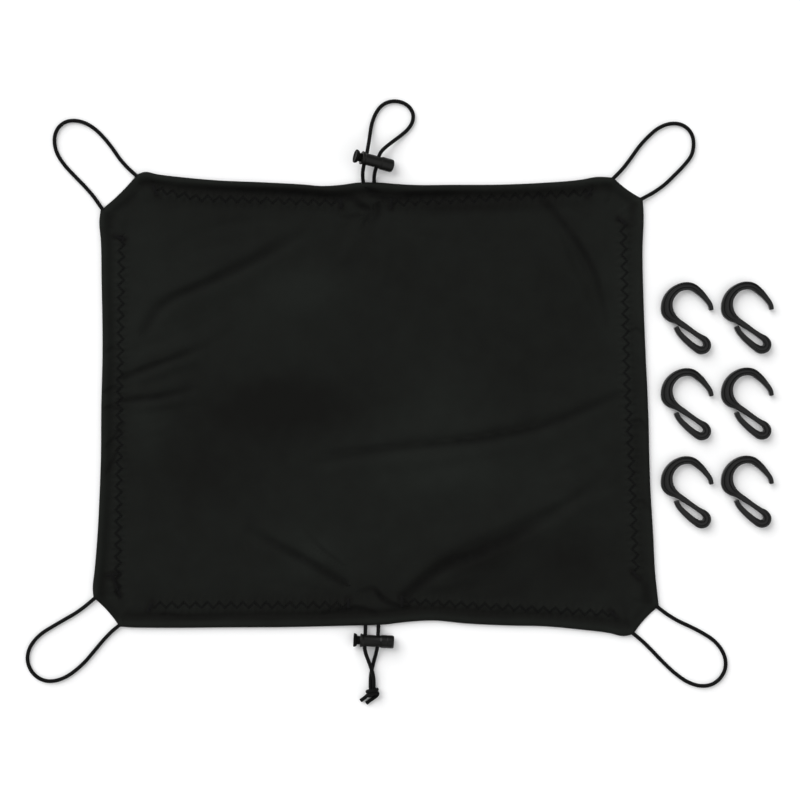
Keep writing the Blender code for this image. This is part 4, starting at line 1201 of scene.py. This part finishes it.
def moulded(name, profile, cutters, matrix, material):
    # cut, then melted together so that every rim is a little round, as a mould leaves it
    points, faces = lathe(profile, lockLook["sides"])
    blank = makeMesh(name + "-blank", points, faces, material)
    for cutter in cutters:
        hole = blank.modifiers.new(cutter.name, "BOOLEAN")
        hole.operation, hole.solver, hole.object = "DIFFERENCE", "EXACT", cutter
    melt = blank.modifiers.new("melt", "REMESH")
    melt.mode, melt.voxel_size = "VOXEL", lockLook["voxel"] * mm
    soft = blank.modifiers.new("soft", "SMOOTH")
    soft.factor, soft.iterations = 0.5, lockLook["smoothPasses"]
    made = plainMesh(blank, name)
    made.transform(matrix)
    made.shade_smooth()
    made.materials.clear()
    made.materials.append(material)
    return linkObject(name, made)


def makeLock(name, place):
    lean, turn = math.radians(place["lean"]), math.radians(place["turn"])
    height = lockLook["barrelRadius"] * math.cos(lean) + lockLook["farContact"] * math.sin(lean)
    turned = Euler((0.0, lean, turn)).to_matrix().to_4x4()
    matrix = Matrix.Translation(Vector((*place["mouth"], height)) * mm) @ turned
    holes, slots = [], []
    wide, travel = 2 * lockLook["holeRadius"], lockLook["travel"]
    slotWidth = cordSize["diameter"] + 2 * lockLook["slotGap"]
    for number, along in enumerate(lockLook["holes"]):
        holes.append(slotCutter(f"hole{number}", along, wide, wide))
        holes.extend(scoopCutter(f"scoop{number}{side}", along, side) for side in (-1, 1))
        slots.append(slotCutter(f"slot{number}", along - travel / 2, slotWidth + travel, slotWidth))
    barrel = moulded(f"barrel-{name}", lockLook["barrel"], holes, matrix, finishes["barrel"])
    plunger = moulded(f"plunger-{name}", lockLook["plunger"], slots, matrix, finishes["plunger"])
    for cutter in holes + slots:
        bpy.data.objects.remove(cutter)
    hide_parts(f"lock_barrel_{name}")
    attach(barrel, "cover")
    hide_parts(f"lock_plunger_{name}")
    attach(plunger, f"plunger_{name}")
    return len(barrel.data.polygons) + len(plunger.data.polygons)


for name, place in lockLook["places"].items():
    print("cord lock", name, makeLock(name, place), "faces")

hookLook = {
    "thick": 6.5, "outerRim": 0.27, "innerRim": 0.19, "groove": 0.9, "edge": 0.9, "step": 0.55,
    "noseReach": 1.1, "noseWidth": 0.76,
    "path": (
        # x, y, width, recess of the web
        (20.3, 6.8, 3.5, 0.0), (19.4, 10.9, 3.8, 0.0), (15.7, 16.3, 4.4, 0.0),
        (9.4, 22.9, 5.8, 0.6), (3.9, 26.7, 6.3, 1.5), (-2.8, 27.2, 6.7, 1.6),
        (-8.2, 25.4, 6.9, 1.6), (-13.0, 21.6, 7.8, 1.6), (-16.3, 16.6, 8.7, 1.6),
        (-17.6, 10.2, 9.8, 1.6), (-16.7, 4.7, 10.3, 1.6), (-13.7, 1.0, 8.7, 1.2),
        (-9.6, -1.8, 5.8, 0.2), (-2.8, -6.3, 4.7, 0.0), (10.6, -15.5, 4.4, 0.0),
        (14.7, -18.2, 5.5, 0.6), (16.6, -22.2, 6.6, 1.0), (15.0, -26.1, 6.9, 1.0),
        (11.2, -27.2, 6.8, 0.8), (6.3, -24.8, 5.6, 0.4), (0.8, -20.5, 5.1, 0.0),
        (-4.4, -15.6, 4.6, 0.0), (-7.9, -11.4, 4.2, 0.0), (-9.8, -7.2, 4.1, 0.0),
    ),
    "columns": (264.6, 315.7), "rows": (72.7, -0.2, -74.9), "secondRise": 0.5,
}


def hookSection(width, recess):
    # right half of the bar from its lower middle to its upper middle, then the left half back
    thick, half = hookLook["thick"], width / 2
    edge = min(hookLook["edge"], half * 0.5)
    recess = max(recess, 0.0)
    groove = hookLook["groove"] * min(1.0, width / 9.0)

    def halfSide(sign, rimShare):  # a rim, a groove beside it, and a web that stands up a little
        rim = min(half - rimShare * width, half - edge - 0.2)
        upper = [(half - edge * (1 - math.sin(a)), thick - edge * (1 - math.cos(a)))
                 for a in np.radians((90, 60, 30, 0))]
        lip = [(rim + 0.1, thick), (rim - 0.1 * groove, thick - 0.2 * recess)]
        web = [(rim - 0.28 * groove, thick - recess), (rim - 0.62 * groove, thick - recess),
               (rim - groove, thick - 0.62 * recess), ((rim - groove) * 0.5, thick - 0.5 * recess)]
        top = upper + lip + web
        bottom = [(x, thick - z) for x, z in reversed(top)]
        return [(sign * x, z) for x, z in bottom + top]

    right = halfSide(1, hookLook["outerRim"])
    left = halfSide(-1, hookLook["innerRim"])
    return right + list(reversed(left))


def hookMesh():
    line = evenly(smoothRoute(hookLook["path"], 16), hookLook["step"])
    line[:, :2] = eased(line[:, :2], 4)
    ahead = np.gradient(line[:, :2], axis=0)
    ahead /= np.linalg.norm(ahead, axis=1)[:, None]
    points = []
    count = len(line)
    middle = hookLook["thick"] / 2
    for index, ((x, y, width, recess), (dx, dy)) in enumerate(zip(line, ahead)):
        toEnd = min(index, count - 1 - index) * hookLook["step"] / hookLook["noseReach"]
        around = math.sqrt(1 - max(1 - toEnd, 0.0) ** 2)  # both ends are a little round
        nose = hookLook["noseWidth"] + (1 - hookLook["noseWidth"]) * around
        for across, height in hookSection(width, recess):
            points.append((x - dy * across * nose, y + dx * across * nose,
                           middle + (height - middle) * (0.4 + 0.6 * nose)))
    size = len(points) // count
    faces = []
    for near in range(0, (count - 1) * size, size):
        far = near + size
        for step in range(size):
            beside = (step + 1) % size
            faces.append((near + step, near + beside, far + beside, far + step))
    last = (count - 1) * size
    faces.append(tuple(range(size)))
    faces.append(tuple(reversed(range(last, last + size))))
    return points, faces


def makeHooks():
    points, faces = hookMesh()
    places = [(x, row + column * hookLook["secondRise"], 0.0)
              for row in hookLook["rows"] for column, x in enumerate(hookLook["columns"])]
    for number, place in enumerate(places, 1):
        laid = np.array(points) + np.array(place)
        hook = makeMesh(f"snap-hook-{number}", laid, faces, finishes["hook"], sharp=40.0)
        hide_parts(f"hook_{number}")
        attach(hook, "cover")
    return len(faces)


print("hooks:", makeHooks(), "faces each")
